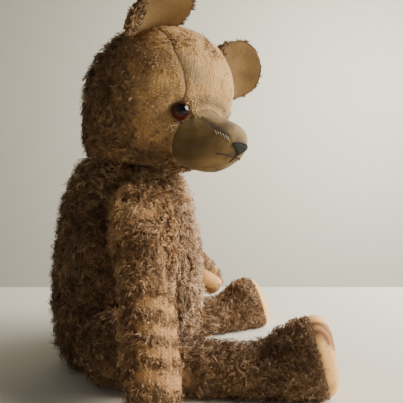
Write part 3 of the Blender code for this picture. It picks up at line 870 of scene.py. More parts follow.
def eye_glass():
    """Make red-brown glass with a black pupil, from the angle painted round the ball, with painted light on
    one side of the iris.
    """
    glass = Finish("eye_glass", 0.05, Specular_IOR_Level=0.32)
    streak = glass.noise(glass.place(), 900.0, 3.0, 0.6, 0.4)
    angle = glass.plus(glass.painted("ring"), glass.about(streak, 0.5, 0.06))
    rings = glass.ramp(
        angle, (0.42, (0.0015, 0.001, 0.001)), (0.46, (0.030, 0.004, 0.003)), (0.58, (0.062, 0.008, 0.005)),
        (0.76, (0.020, 0.003, 0.002)), (0.90, (0.004, 0.001, 0.001)))
    # Painted light: one side of the iris is brightened, as light coming through the glass.
    painted_iris_light = glass.rise(glass.painted("painted_iris_light"), 0.1, 0.95, 0.0, 0.6)
    inner = glass.rise(glass.painted("ring"), 0.45, 0.55)
    return glass.show(glass.over(rings, (glass.times(painted_iris_light, inner), (0.12, 0.016, 0.009))))


def wood_wool():
    """Make packed wood shavings."""
    wool = Finish("wood_wool", 0.9)
    strands = wool.noise(wool.place(), 260.0, 4.0, 0.7, 2.5)
    shown = wool.ramp(
        strands, (0.3, (0.32, 0.22, 0.11)), (0.55, (0.66, 0.52, 0.30)), (0.75, (0.82, 0.70, 0.46)))
    return wool.show(shown, strands, 0.0015)


def fibreboard():
    """Make pressed fibreboard."""
    board = Finish("fibreboard", 0.85)
    fibres = board.noise(board.place(), 700.0, 4.0, 0.75, 1.0)
    shown = board.ramp(fibres, (0.3, (0.22, 0.13, 0.07)), (0.7, (0.50, 0.34, 0.20)))
    return board.show(shown, fibres, 0.0003)


def dull_steel():
    """Make dull old steel with specks of rust."""
    steel = Finish("dull_steel", 0.42, Metallic=1.0)
    specks = steel.noise(steel.place(), 800.0, 3.0, 0.7)
    steel.put(steel.shader["Roughness"], steel.rise(specks, 0.45, 0.75, 0.38, 0.75))
    return steel.show(steel.ramp(specks, (0.5, (0.42, 0.41, 0.39)), (0.72, (0.24, 0.12, 0.06))))


def plain_stage(name, colour, roughness):
    """Make the table's or the wall's matt paint."""
    matt = Finish(name, roughness)
    soft = matt.times(matt.noise(matt.place(), 3.0, 2.0), 0.25)
    return matt.show(matt.over(colour, (soft, lit_by(colour, 0.9))))


MATERIALS = {
    "body": plush_cloth("body_backing", (0.30, 0.165, 0.075), (0.080, 0.040, 0.017), (0.20, 0.11, 0.052)),
    "limb": plush_cloth("limb_backing", (0.54, 0.272, 0.095), (0.100, 0.052, 0.021), (0.46, 0.26, 0.105)),
    "leg": plush_cloth("leg_backing", (0.42, 0.235, 0.105), (0.085, 0.046, 0.020), (0.16, 0.095, 0.050)),
    "head": plush_cloth("head_backing", (0.50, 0.286, 0.092), (0.110, 0.056, 0.020), (0.040, 0.020, 0.008)),
    "ear_back": plush_cloth("ear_backing", (0.42, 0.23, 0.08), (0.075, 0.038, 0.015), (0.10, 0.055, 0.030)),
    "body_pile": pile_hair("body_pile", (0.042, 0.021, 0.009), (0.245, 0.131, 0.058), (0.80, 0.55, 0.30)),
    "limb_pile": pile_hair("limb_pile", (0.080, 0.039, 0.016), (0.315, 0.165, 0.066), (0.74, 0.48, 0.22)),
    "head_pile": pile_hair("head_pile", (0.042, 0.019, 0.007), (0.200, 0.103, 0.038), (0.54, 0.34, 0.15)),
    "fuzz": pile_hair("worn_fuzz", (0.140, 0.066, 0.020), (0.300, 0.155, 0.050), (0.60, 0.37, 0.14)),
    "muzzle": velvet("muzzle_velvet", (0.145, 0.084, 0.024), (0.300, 0.195, 0.066), (0.040, 0.023, 0.007),
                     0.0045),
    "ear": velvet("ear_velvet", (0.205, 0.118, 0.038), (0.310, 0.188, 0.068), (0.085, 0.045, 0.014), 0.0050),
    "felt": pad_felt("pad_felt"),
    "eye": eye_glass(),
    "nose": thread("nose_thread", (0.004, 0.005, 0.003), (0.017, 0.019, 0.011), 0.8),
    "mouth": thread("mouth_thread", (0.020, 0.008, 0.004), (0.062, 0.026, 0.013)),
    "cream": thread("cream_thread", (0.50, 0.40, 0.26), (0.80, 0.70, 0.52)),
    "gold": thread("frayed_thread", (0.62, 0.38, 0.13), (0.92, 0.68, 0.34)),
    "seam": thread("seam_thread", (0.085, 0.048, 0.022), (0.20, 0.125, 0.060)),
    "wood_wool": wood_wool(),
    "fibreboard": fibreboard(),
    "steel": dull_steel(),
}


# ---------------------------------------------------------------- thread and small shapes


def reach_along(path):
    """Give the length of a path up to each of its points."""
    return np.concatenate(((0,), np.cumsum(np.linalg.norm(np.diff(path, axis=0), axis=1))))


def stretch(points, count):
    """Spread points evenly along straight steps between points."""
    points = np.asarray(points, float)
    length = reach_along(points)
    at = np.linspace(0, length[-1], count)
    return np.stack([np.interp(at, length, points[:, axis]) for axis in range(points.shape[1])], 1)


def tube(path, radius, sides=6):
    """Sweep a round thread along a path; give points, faces and the lay painted on it."""
    path = np.asarray(path, float)
    ahead = unit(np.gradient(path, axis=0))
    side = unit(np.cross(ahead[0], (0.0, 0.0, 1.0) if abs(ahead[0, 2]) < 0.8 else (1.0, 0.0, 0.0)))
    across = []
    for direction in ahead:
        side = unit(side - direction * (side @ direction))
        across.append(side)
    across = np.array(across)[:, None]
    other = np.cross(ahead, across[:, 0])[:, None]
    angles = np.arange(sides) * 2 * math.pi / sides
    size = np.full(len(path), radius)
    size[0] = size[-1] = radius * THREAD_END
    cosine, sine = np.cos(angles)[None, :, None], np.sin(angles)[None, :, None]
    rings = path[:, None] + size[:, None, None] * (across * cosine + other * sine)
    along, around = np.repeat(reach_along(path), sides), np.tile(angles, len(path))
    lay = np.stack((along, around, 0 * along), 1)
    ring = np.arange(sides)
    after = np.roll(ring, -1)
    quads = np.stack((ring, after, after + sides, ring + sides), 1)
    faces = [face for row in range(len(path) - 1) for face in (quads + row * sides).tolist()]
    faces += [ring[::-1].tolist(), (ring + (len(path) - 1) * sides).tolist()]
    return rings.reshape(-1, 3), faces, lay


def sew(name, parts, body, material, nodes=()):
    """Join swept threads into one piece and dress it."""
    faces, start = [], 0
    for points, part_faces, _ in parts:
        faces += [[index + start for index in face] for face in part_faces]
        start += len(points)
    points, lay = (np.concatenate([part[index] for part in parts]) for index in (0, 2))
    return dress(mesh_object(name, settle(points), faces, {"lay": lay}), body, material, nodes)


def on_surface(tree, points, lift):
    """Put points of the row's frame on a surface, a little above it."""
    return np.array([spot + normal * lift for spot, normal, _ in nearest(tree, points)])


def from_front(tree, points, lift):
    """Put points of the head's frame on the face straight from the front, a little above it."""
    back = Vector(-FRAMES["head"][1][:, 0])
    placed = []
    for _, across, height in points:
        spot, normal, _, _ = tree.ray_cast(Vector(to_world((BEFORE_FACE, across, height), "head")), back)
        placed.append(spot + normal * lift)
    return np.array(placed)


def on_muzzle(tree, points, lift):
    """Lay points in the head's frame on the muzzle's outer face, coming from outside it."""
    points = np.asarray(points, float)
    axis = np.stack((points[:, 0], 0 * points[:, 0], np.full(len(points), MUZZLE_AXIS)), 1)
    return on_surface(tree, to_world(points + 0.006 * unit(points - axis), "head"), lift)


# ---------------------------------------------------------------- what is painted on a skin


def near(points, spot, radius):
    """Fall from 1 at a spot to 0 at a radius."""
    return ease(np.linalg.norm(points - np.asarray(spot), axis=1), radius, 0.0)


def seat_share(points, joint_name, inner, outer):
    """Rise from 0 near a joint to 1 away from it."""
    distance = np.linalg.norm(points - np.array(JOINTS[joint_name]["pos_m"]), axis=1)
    return ease(distance, inner, outer)


def line_distance(points, knots):
    """Give the distance of points from a bent line."""
    knots = np.asarray(knots, float)
    best = np.full(len(points), 1.0)
    for first, second in zip(knots[:-1], knots[1:]):
        step = second - first
        share = np.clip((points - first) @ step / (step @ step), 0, 1)
        best = np.minimum(best, np.linalg.norm(points - first - share[:, None] * step, axis=1))
    return best


def lumps(skin, amount, seed):
    """Give the skin the soft unevenness of packed stuffing."""
    wide = cloud(skin.local, 0.034, seed) - 0.5
    small = cloud(skin.local, 0.012, seed + 3) - 0.5
    skin.push(amount * (1.4 * wide + 0.6 * small))
    skin.points = settle(skin.points)
    skin.update()


def paint(skin, **values):
    """Store values on a skin, and fill in those that aren't given."""
    count = len(skin.points)
    skin.values = {key: np.zeros(count) for key in ("rust", "grey", "fuzz")}
    skin.values["seam"] = np.full(count, 1.0)
    skin.values.update(values)
    across, along, depth = skin.values["cloth"].T
    skin.values["cloth"] = np.stack((0.77 * across + 0.64 * along, 0.77 * along - 0.64 * across, depth), 1)


def cover(skin, name, material, node):
    """Make a skin's painted cloth and dress it."""
    piece = mesh_object(name, skin.points, skin.faces, skin.values)
    return dress(piece, skin.place, material, [node])


# ---------------------------------------------------------------- torso


def make_torso():
    """Make the torso's cloth and pile."""
    plugs = pin_plugs(("neck_turn", -1), ("shoulder_left_swing", -1), ("hip_left_swing", -1),
                      ("shoulder_right_swing", 1), ("hip_right_swing", 1))
    skin = stuffed("torso", ["body_cover", "body_stuffing"], plugs)
    lumps(skin, 0.0012, 11)
    x, y, z = skin.points.T
    around = np.arctan2(y, x)
    pile = np.clip(1.15 - 0.7 * patchy(skin.points, 0.022, 21, 0.72, 0.86), 0, 1)
    seats = seat_share(skin.points, "neck_turn", 0.030, 0.042)
    for joint, inner, outer in (("shoulder", 0.014, 0.026), ("hip", 0.020, 0.034)):
        for name in ("left", "right"):
            seats = seats * seat_share(skin.points, f"{joint}_{name}_swing", inner, outer)
    paint(skin, cloth=np.stack((around * 0.07, z, 0 * z), 1), pile=pile * seats,
          seam=np.where(x > 0, 3 * y, 1.0))
    cover(skin, "body_plush", "body", "body_cover")
    under = ease(z, 0.001, 0.010)
    flow = np.stack((0.18 * np.cos(around), 0.18 * np.sin(around), -np.ones(len(z))), 1)
    length = 0.0105 * (0.75 + 0.5 * cloud(skin.points, 0.018, 31)) * (0.35 + 0.65 * under)
    lit = cloud(skin.points, 0.03, 41, 2)
    shade = 0.39 + 0.26 * (lit - 0.5) + 0.17 * ease(x, -0.01, 0.05) + 0.12 * ease(z, 0.14, 0.20)
    density = (0.12 + 0.88 * pile) * seats * (0.25 + 0.75 * under)
    for number, (half, share) in enumerate((("front", x > 0), ("back", x <= 0))):
        grow(f"body_pile_{half}", skin, "torso half", "body_pile", density * share, length, flow,
             shade, 51 + number)


# ---------------------------------------------------------------- head


# The seam between the muzzle's sides and its top, each side's the mirror of the other's
MUZZLE_SEAM = ((0.102, 0.0275, 0.0505), (0.1135, 0.0235, 0.0400), (0.1215, 0.0200, 0.0335),
               (0.1285, 0.0155, 0.0280), (0.1330, 0.0115, 0.0248))
# The gusset's half width at angles round the profile, seen from a point in the head
PROFILE_MIDDLE = np.array((0.035, 0.0, 0.065))
GUSSET = ((-20, 0.034), (0, 0.036), (15, 0.041), (30, 0.046), (60, 0.0465), (90, 0.043), (130, 0.030),
          (180, 0.015))
# How far forward the fur reaches at each height
FUR_EDGE = ((0.0, 0.058), (0.012, 0.060), (0.035, 0.063), (0.055, 0.064), (0.075, 0.060), (0.100, 0.050),
            (0.120, 0.040), (0.140, 0.030))
RUST_STREAK = ((0.069, -0.034, 0.127), (0.083, -0.025, 0.121), (0.094, -0.012, 0.116), (0.102, 0.003, 0.104))
GREY_STREAK = ((0.090, -0.043, 0.092), (0.097, -0.037, 0.084), (0.100, -0.030, 0.078))


def muzzle_field(local):
    """Give the signed distance inside the muzzle's seam."""
    middle = (SEAM_BRIDGE + SEAM_JAW) / 2
    up = unit(SEAM_BRIDGE - SEAM_JAW)
    ahead = np.array((up[2], 0.0, -up[0]))
    offset = local - middle
    height = np.where(offset @ up > 0, MUZZLE_HEIGHT["above"], MUZZLE_HEIGHT["below"])
    oval = np.hypot(offset[:, 1] / MUZZLE_WIDTH, (offset @ up) / height)
    first, second = 0.037 * (1 - oval), offset @ ahead + 0.0010
    return -MUZZLE_ROUND * np.logaddexp(-first / MUZZLE_ROUND, -second / MUZZLE_ROUND)


def head_seam(local):
    """Give the signed distance from the gusset's seams, and the angle round the profile in degrees."""
    x, y, z = (local - PROFILE_MIDDLE).T
    angle = np.degrees(np.arctan2(z, x))
    angle = np.where(angle < -100, angle + 360, angle)
    return np.abs(y) - curve_at(angle, GUSSET), angle


def eye_distance(local):
    """Give the distance of points from the nearer eye."""
    return np.minimum(*(np.linalg.norm(local - mirrored(EYE_SPOT, side), axis=1) for side in SIDES.values()))


def shape_head():
    """Make the head's skin; give it, the distances from the muzzle's and gusset's seams, and the angles."""
    plugs = pin_plugs(("neck_turn", 1))
    for side in SIDES.values():
        outward = mirrored(EYE_OUTWARD, side)
        spot = to_world(mirrored(EYE_SPOT, side) - outward * EYE_PLUG_BACK, "head")
        plugs.append((spot, turn_to_world(outward, "head"), EYE_PLUG))
    skin = stuffed("head", ["head_cover", "muzzle_cover", "head_stuffing"], plugs)
    x, _, z = skin.local.T
    rise = 0.0040 * ease(x, 0.090, 0.116) + 0.0014 * ease(x, 0.112, 0.130)
    skin.points[:, 2] += rise * ease(z, 0.014, 0.036) * ease(z, 0.064, 0.052)
    forward = 0.0030 * ease(x, 0.106, 0.130) * ridge(z - 0.031, 0.011)
    skin.points += forward[:, None] * turn_to_world((1, 0, 0), "head")
    skin.update()
    inside = muzzle_field(skin.local)
    seam, angle = head_seam(skin.local)
    lumps(skin, 0.0010, 12)
    dip = 0.0009 * ridge(seam, 0.0016) * (angle > GUSSET_END) + 0.0007 * ridge(inside, 0.0014)
    dip += 0.0016 * ease(inside, 0.0003, 0.0020)
    dip += 0.0016 * ease(eye_distance(skin.local), 0.0135, 0.0085)
    skin.push(-dip)
    keep_over(skin, "head_stuffing")
    return skin, inside, seam, angle


def make_muzzle(skin):
    """Cut the velvet muzzle out of the head's skin, with painted shade low on its sides, and soil in patches
    and along its top seams.
    """
    x, y, z = skin.local.T
    # The muzzle's lower sides are painted darker as shade; the patches and the smudges along the top seams
    # are soil.
    painted_low_shade = ease(z, 0.040, 0.012) * ease(np.abs(y), 0.012, 0.026) * ease(x, 0.128, 0.100)
    soil_and_shade = np.maximum(0.5 * patchy(skin.local, 0.010, 91, 0.55, 0.72), 0.62 * painted_low_shade)
    tree = skin.tree()
    for side in SIDES.values():
        line = on_muzzle(tree, stretch(mirrored(MUZZLE_SEAM, side), 20), 0.0)
        smudge = ease(line_distance(skin.points, line), 0.0042, 0.0005)
        soil_and_shade = np.maximum(soil_and_shade, smudge * (0.62 + 0.65 * cloud(skin.local, 0.004, 93)))
    skin.values["grey"] = np.clip(soil_and_shade, 0, 1)
    muzzle = cut_patch(skin, muzzle_field(skin.local), "muzzle", VELVET_THICK, "grey")
    return dress(muzzle, "head", "muzzle", ["muzzle_cover"])


def make_head():
    """Make the head's cloth, its muzzle and its pile; give its skin and its muzzle."""
    skin, inside, seam, angle = shape_head()
    x, y, z = skin.local.T
    edge = x - curve_at(z, FUR_EDGE) + 0.012 * (cloud(skin.local, 0.012, 61, 2) - 0.5)
    edge = edge - 0.006 * ease(seam, 0.0, -0.02)
    jaw = ease(z, 0.030, 0.008) * ease(inside, 0.004, -0.004)
    furry = np.maximum(ease(edge, 0.010, -0.014), 0.85 * jaw)
    patches = patchy(skin.local, 0.017, 71, 0.40, 0.66) * ease(edge, 0.040, 0.006)
    rim = 0.9 * ease(edge, 0.020, 0.000)
    top = ease(z, 0.080, 0.112) * patchy(skin.local, 0.014, 75, 0.42, 0.66) * 0.85
    brow = 0.5 * patchy(skin.local, 0.012, 77, 0.50, 0.70)
    fuzz = np.clip(np.maximum.reduce((patches, rim, top, brow)), 0, 1) * (1 - furry)
    rust = ease(line_distance(skin.local, RUST_STREAK), 0.0036, 0.0008)
    rust = rust * 0.75 * (0.5 + 0.5 * cloud(skin.local, 0.006, 81))
    soil = patchy(skin.local, 0.014, 79, 0.42, 0.66) * ease(seam, -0.003, 0.008)
    grey = np.maximum.reduce((
        0.55 * ease(line_distance(skin.local, GREY_STREAK), 0.011, 0.002),
        0.6 * ease(np.abs(inside + 0.003), 0.006, 0.0) * (z > 0.015),
        0.45 * soil,
        0.9 * ease(eye_distance(skin.local), 0.0125, 0.0088)))
    panel = seam > 0
    cloth = np.stack((np.where(panel, x, y), np.where(panel, z, np.radians(angle) * 0.075), 0 * x), 1)
    paint(skin, cloth=cloth, pile=np.clip(furry, 0, 1), fuzz=0.85 * fuzz, rust=rust, grey=grey,
          seam=np.where(angle > GUSSET_END, seam, 1.0))
    cover(skin, "head_plush", "head", "head_cover")
    muzzle = make_muzzle(skin)

    flow = turn_to_world(np.stack((-np.ones(len(x)), 0.25 * np.sign(y), -0.75 * np.ones(len(x))), 1), "head")
    seats = seat_share(skin.points, "neck_turn", 0.030, 0.044) * ease(z, -0.001, 0.006)
    open_face = (1 - ease(inside, -0.002, 0.002)) * seats
    eyes = ease(eye_distance(skin.local), 0.0095, 0.0125)
    length = 0.0095 * (0.7 + 0.6 * cloud(skin.local, 0.016, 101)) * (0.35 + 0.65 * ease(edge, 0.0, -0.022))
    length = np.where(jaw > furry * 0.8, 0.0055, length)
    # Painted light: the pile under the jaw is made lighter by the jaw term.
    shade = 0.36 + 0.36 * (cloud(skin.local, 0.022, 111, 2) - 0.5) + 0.10 * ease(z, 0.08, 0.13) + 0.10 * jaw
    grow("head_pile", skin, "head", "head_pile", furry * open_face * eyes, length, flow, shade,
         121)
    sparse = 0.03 + 0.97 * fuzz * ease(seam, -0.004, 0.002) + 0.5 * top * (seam < 0)
    sparse = sparse * (1 - furry) * open_face * eyes
    grow("head_fuzz", skin, "worn head", "fuzz", sparse, 0.0022 + 0.0020 * fuzz, flow,
         0.62 - 0.30 * fuzz, 131)
    return skin, muzzle


# ---------------------------------------------------------------- limbs


# The bald bands across an arm: the distance from the shoulder, the half width and the strength
ARM_BANDS = ((0.060, 0.0035, 0.6), (0.079, 0.0065, 1.0), (0.096, 0.0055, 1.0), (0.113, 0.0055, 1.0),
             (0.131, 0.0075, 1.0), (0.152, 0.0050, 0.9))


def palm_field(local, side):
    """Give the signed distance inside an arm's oval pad."""
    offset = local - mirrored(PALM_SPOT, side)
    lean = np.array(Matrix.Rotation(side * PALM_LEAN, 3, "Z"))
    along = lean @ (1, 0, 0)
    out = lean @ (0, side * math.sin(PALM_TURN), math.cos(PALM_TURN))
    wide = lean @ (0, -math.cos(PALM_TURN), side * math.sin(PALM_TURN))
    length, width = PALM_SIZE["left" if side > 0 else "right"]
    oval = 0.021 * (1 - np.hypot((offset @ along) / length, (offset @ wide) / width))
    return np.minimum(oval, -(offset @ out))


def sole_field(local):
    """Give the signed distance past a leg's sole seam."""
    return (local[:, 0] - SOLE_SEAM) * math.cos(SOLE_LEAN) + local[:, 2] * math.sin(SOLE_LEAN)


def sink_pad(skin, field, seam_depth):
    """Press a skin in under its pad and along the pad's seam."""
    skin.push(-0.0012 * ease(field, 0.0003, 0.0018) - seam_depth * ridge(field, 0.0013))


def cover_limb(skin, field, felt_name, material, cloth_reach, middle, pile, seam, rust):
    """Make a limb's cloth, wound round a middle line, and the felt pad at its end."""
    x, _, z = skin.local.T
    body = skin.place
    paint(skin, cloth=np.stack((np.arctan2(z, middle) * cloth_reach, x, 0 * x), 1), pile=pile, seam=seam)
    cover(skin, f"{body}_plush", material, f"{body}_cover")
    skin.values["rust"] = rust
    pad = cut_patch(skin, field, f"{body}_{felt_name}_felt", FELT_THICK, "rust")
    dress(pad, body, "felt", [f"{body}_pad"])


def limb_pile(skin, side, material, seat_radius, density, length, shade, seed):
    """Grow a limb's pile, which lies along it towards its end and leaves its seat on the torso bare."""
    x, y, z = skin.local.T
    seats = ease(side * y, 0.0035, 0.0085) + (np.hypot(x, z) > seat_radius)
    flow = turn_to_world(np.tile((1.0, 0.12 * side, 0.0), (len(x), 1)), skin.place)
    density = density * np.clip(seats, 0, 1)
    kind = skin.place.split("_")[0]
    grow(f"{skin.place}_pile", skin, kind, material, density, length, flow, shade, seed)


def pad_stitches(name, skin, field):
    """Make small overcast stitches round a pad's edge, where field passes zero."""
    first, second = skin.links[(field[skin.links[:, 0]] > 0) != (field[skin.links[:, 1]] > 0)].T
    share = (field[first] / (field[first] - field[second]))[:, None]
    spots = skin.points[first] * (1 - share) + skin.points[second] * share
    normals = unit(skin.normals[first] + skin.normals[second])
    middle = spots.mean(axis=0)
    turned = np.arctan2((spots - middle) @ np.cross(normals.mean(axis=0), (0, 0, 1)), (spots - middle)[:, 2])
    kept = []
    for number in np.argsort(turned):
        if all(np.linalg.norm(spots[number] - spots[other]) > STITCH_STEP for other in kept):
            kept.append(number)
    shares = np.linspace(-1, 1, 6)[:, None]
    parts = []
    for spot, normal in zip(spots[kept], normals[kept]):
        inside = unit(middle - spot)
        inside = unit(inside - normal * (inside @ normal))
        line = spot + inside * 0.0016 * shares + normal * (0.0013 - 0.0010 * shares ** 2)
        parts.append(tube(line, THREAD["pad stitch"], 5))
    sew(name, parts, skin.place, "seam")


def make_arm(name):
    """Make an arm's cloth, pad and pile."""
    side = SIDES[name]
    body = "arm_" + name
    skin = stuffed(body, [f"{body}_cover", f"{body}_pad"], pin_plugs((f"shoulder_{name}_swing", side)))
    skin.points[:, 2] -= ARM_DROOP[name] * ease(skin.local[:, 0], 0.080, 0.140)
    skin.update()
    lumps(skin, 0.0010, 13 + side)
    keep_over(skin, f"{body}_stuffing")
    field = palm_field(skin.local, side)
    sink_pad(skin, field, 0.0007)
    x, y, z = skin.local.T
    outward = side * y
    wobble = 0.0060 * (cloud(skin.local, 0.014, 141 + side, 2) - 0.5) - 0.25 * (z + 0.004)
    bald = np.maximum.reduce([strength * ridge(x + wobble - distance, half)
                              for distance, half, strength in ARM_BANDS])
    bald = bald * ease(outward, 0.018, 0.036) * ease(z, -0.020, -0.006)
    bald = bald * (0.55 + 0.6 * cloud(skin.local, 0.007, 151 + side))
    bald = np.maximum(bald, near(skin.local, (0.005, side * 0.044, 0.003), 0.013))
    seam = np.where(outward > 0.020, z - 0.0135, 1.0)
    pile = np.clip(1 - 0.95 * bald, 0, 1) * (1 - 0.35 * ease(np.abs(seam), 0.004, 0.001))
    strokes = 0.75 + 0.25 * np.sin(RUST_WAVES * (x + 0.5 * z))
    rust = strokes * ease(x, 0.154, 0.163) * ease(field, 0.011, 0.005)
    cover_limb(skin, field, "pad", "limb", 0.022, y - side * 0.025, pile, seam, rust)
    density = (0.07 + 0.93 * pile ** 1.5) * ease(field, 0.0006, -0.0015)
    length = 0.0046 + 0.0034 * ease(x, 0.045, 0.010) + 0.0030 * ease(z, -0.004, -0.018)
    length = length * (0.75 + 0.5 * cloud(skin.local, 0.014, 161 + side)) * (0.40 + 0.60 * pile)
    shade = 0.44 + 0.40 * (cloud(skin.local, 0.016, 171 + side, 2) - 0.5) + 0.12 * (1 - pile)
    # Painted light: the pile is made lighter near the shoulder, where the light falls on it.
    shade = shade + 0.10 * ease(x, 0.050, 0.010)
    limb_pile(skin, side, "limb_pile", 0.034, density, length, shade, 181 + side)
    pad_stitches(f"{body}_pad_stitches", skin, palm_field(skin.local, side))


def fill_out(skin, name):
    """Press a leg's underside flat on the table, and lean its toes back or forward."""
    x, y, z = skin.local.T
    body = "leg_" + name
    beyond = ease(x, 0.050, 0.080)
    low = ease(z, -0.004, -0.022) * beyond
    inner = ease(SIDES[name] * y, 0.040, 0.014) * beyond
    toes = FOOT_LEAN[name] * ease(x, 0.130, 0.170) * ease(z, -0.010, 0.045)
    skin.points[:, 2] -= 0.005 * low
    skin.points += (0.006 * low * inner)[:, None] * turn_to_world((0, -SIDES[name], 0), body)
    skin.points += toes[:, None] * turn_to_world((-1, 0, -0.45), body)
    keep_over(skin, f"{body}_stuffing")
    skin.points = settle(skin.points)
    skin.update()


def make_leg(name):
    """Make a leg's cloth, sole and pile."""
    side = SIDES[name]
    body = "leg_" + name
    skin = stuffed(body, [f"{body}_cover", f"{body}_pad"], pin_plugs((f"hip_{name}_swing", side)))
    lumps(skin, 0.0010, 17 + side)
    fill_out(skin, name)
    field = sole_field(skin.local)
    sink_pad(skin, field, 0.0008)
    x, y, z = skin.local.T
    outward = side * y
    bald = np.maximum.reduce((
        near(skin.local, (0.062, side * 0.047, -0.012), 0.019),
        0.6 * near(skin.local, (0.095, side * 0.045, -0.016), 0.012),
        0.45 * patchy(skin.local, 0.016, 191 + side, 0.68, 0.80)))
    pile = np.clip(1 - bald, 0, 1)
    middle = outward - 0.026
    worn = ease(np.hypot((outward - 0.037) / 0.010, (z - 0.020) / 0.014), 1.0, 0.70)
    strokes = 0.78 + 0.22 * np.sin(RUST_WAVES * (outward + 0.3 * z))
    rust = np.maximum(worn * strokes, near(skin.local, (0.185, side * 0.044, -0.018), 0.007) * 0.5)
    cover_limb(skin, field, "sole", "leg", 0.027, middle, pile, np.where(z > 0, middle, 1.0), rust)
    under = ease(skin.points[:, 2], 0.002, 0.010)
    density = (0.03 + 0.97 * pile) * ease(field, 0.0003, -0.0012) * (0.3 + 0.7 * under)
    length = 0.0085 - 0.0030 * ease(x, 0.140, 0.160) - 0.0028 * ease(field, -0.014, -0.003)
    length = length * (0.7 + 0.6 * cloud(skin.local, 0.015, 201 + side)) * (0.45 + 0.55 * pile)
    shade = 0.41 + 0.30 * (cloud(skin.local, 0.022, 211 + side, 2) - 0.5) + 0.08 * ease(z, 0.0, 0.03)
    # Painted light: the left leg's pile is made lighter than the right leg's, as if more light fell on it.
    shade = shade + (0.08 if name == "left" else 0.0)
    limb_pile(skin, side, "body_pile", 0.048, density, length, shade, 221 + side)
    pad_stitches(f"{body}_sole_stitches", skin, sole_field(skin.local))


# ---------------------------------------------------------------- face


def make_eye(name):
    """Make a glass eye set into the head, with its ring and pupil painted round its own axis, and painted
    light on one side of its iris.
    """
    side = SIDES[name]
    outward = turn_to_world(mirrored(EYE_OUTWARD, side), "head")
    ball = bmesh.new()
    bmesh.ops.create_uvsphere(ball, u_segments=40, v_segments=26, radius=EYE_RADIUS)
    points = np.array([vert.co for vert in ball.verts])
    faces = sorted([vert.index for vert in face.verts] for face in ball.faces)
    ball.free()
    across = unit(np.cross((0, 0, 1), outward))
    turn = np.stack((across, np.cross(outward, across), outward), 1)
    placed = points @ turn.T + to_world(mirrored(EYE_SPOT, side), "head")
    ring = np.arccos(np.clip(points[:, 2] / EYE_RADIUS, -1, 1)) / (math.pi / 2)
    # Painted light: a fixed side of the ball is marked, where the iris is brightened.
    painted_iris_light = np.clip(points @ unit((-0.45, -0.75, 0.5)) / EYE_RADIUS, 0, 1)
    eye = mesh_object(f"eye_{name}_glass", placed, faces, {"ring": ring, "painted_iris_light": painted_iris_light})
    dress(eye, "head", "eye", [f"eye_{name}"])


def eyelid_threads(tree):
    """Make the frayed golden threads and the pale fluff by the eye, and the broken threads at the seam."""
    rng = np.random.default_rng(301)
    shares = np.linspace(0, 1, 7)[:, None]
    parts = []
    for spot, size, amount in (((0.097, -0.030, 0.0545), 0.0062, 14), ((0.1005, -0.0255, 0.0505), 0.0050, 8),
                               ((0.084, -0.036, 0.032), 0.0042, 5)):
        for _ in range(amount):
            start = np.array(spot) + rng.normal(0, 0.0016, 3)
            heading = unit(rng.normal(0, 1, 3))
            bend = unit(rng.normal(0, 1, 3))
            line = start + heading * size * shares + bend * size * 0.5 * np.sin(shares * math.pi)
            placed = on_surface(tree, to_world(line, "head"), 0.0004)
            rise = np.sin(shares * math.pi) * rng.uniform(0.0003, 0.0014)
            placed += unit(placed - to_world((0.05, 0, 0.05), "head")) * rise
            parts.append(tube(placed, THREAD["frayed"], 5))
    sew("frayed_threads", parts, "head", "gold")


def make_nose(tree):
    """Make the nose of close upright stitches, wide at the top and pointed at the foot, with a top edge."""
    parts = []
    count = 21
    for index in range(count):
        y = NOSE_HALF * (2 * index / (count - 1) - 1)
        top = 0.0242 - 0.0008 * (y / NOSE_HALF) ** 2
        foot = 0.0144 + 0.0062 * abs(y) / 0.0100
        line = np.stack((np.zeros(8), np.full(8, y), np.linspace(top, foot, 8)), 1)
        parts.append(tube(from_front(tree, line, 0.0008), THREAD["nose"]))
    edge = ((0, -0.0112, 0.0234), (0, -0.004, 0.0248), (0, 0.004, 0.0248), (0, 0.0112, 0.0234))
    parts.append(tube(from_front(tree, stretch(edge, 14), 0.0011), THREAD["nose edge"]))
    sew("nose", parts, "head", "nose", ["nose_stitching"])


def make_mouth(tree):
    """Make the upright stitch below the nose and the two long stitches of the mouth."""
    upright = stretch(((0, 0, 0.0150), (0, 0.0004, 0.0078)), 8)
    parts = [tube(from_front(tree, upright, 0.0004), THREAD["below nose"])]
    for side in SIDES.values():
        for lift in (0.0, 0.0007):
            line = ((0, 0.0005, 0.0124 + lift), (0, 0.008, 0.0126 + lift), (0, 0.0180, 0.0128))
            placed = from_front(tree, stretch(mirrored(line, side), 14), 0.0004)
            parts.append(tube(placed, THREAD["mouth"]))
    sew("mouth", parts, "head", "mouth", ["mouth_stitching"])


def make_stitches(tree):
    """Make the pale mending stitches beside the nose and the dark stitches along the muzzle's top seams."""
    rng = np.random.default_rng(307)
    start, end = np.array((0.1215, -0.0202, 0.0300)), np.array((0.1322, -0.0134, 0.0258))
    step = np.array((0.0020, 0.0010, -0.0032))
    parts = []
    for share in np.linspace(0, 1, 6):
        first = start * (1 - share) + end * share
        second = first + step * rng.uniform(0.7, 1.3) + rng.normal(0, 0.0003, 3)
        parts.append(tube(on_muzzle(tree, stretch((first, second), 6), 0.0004), THREAD["mending"], 5))
    sew("muzzle_mending", parts, "head", "cream")
    lines = [on_muzzle(tree, stretch(mirrored(MUZZLE_SEAM, side), 44), 0.0001) for side in SIDES.values()]
    parts = [tube(line, THREAD["muzzle seam"]) for line in lines]
    sew("muzzle_seams", parts, "head", "nose")


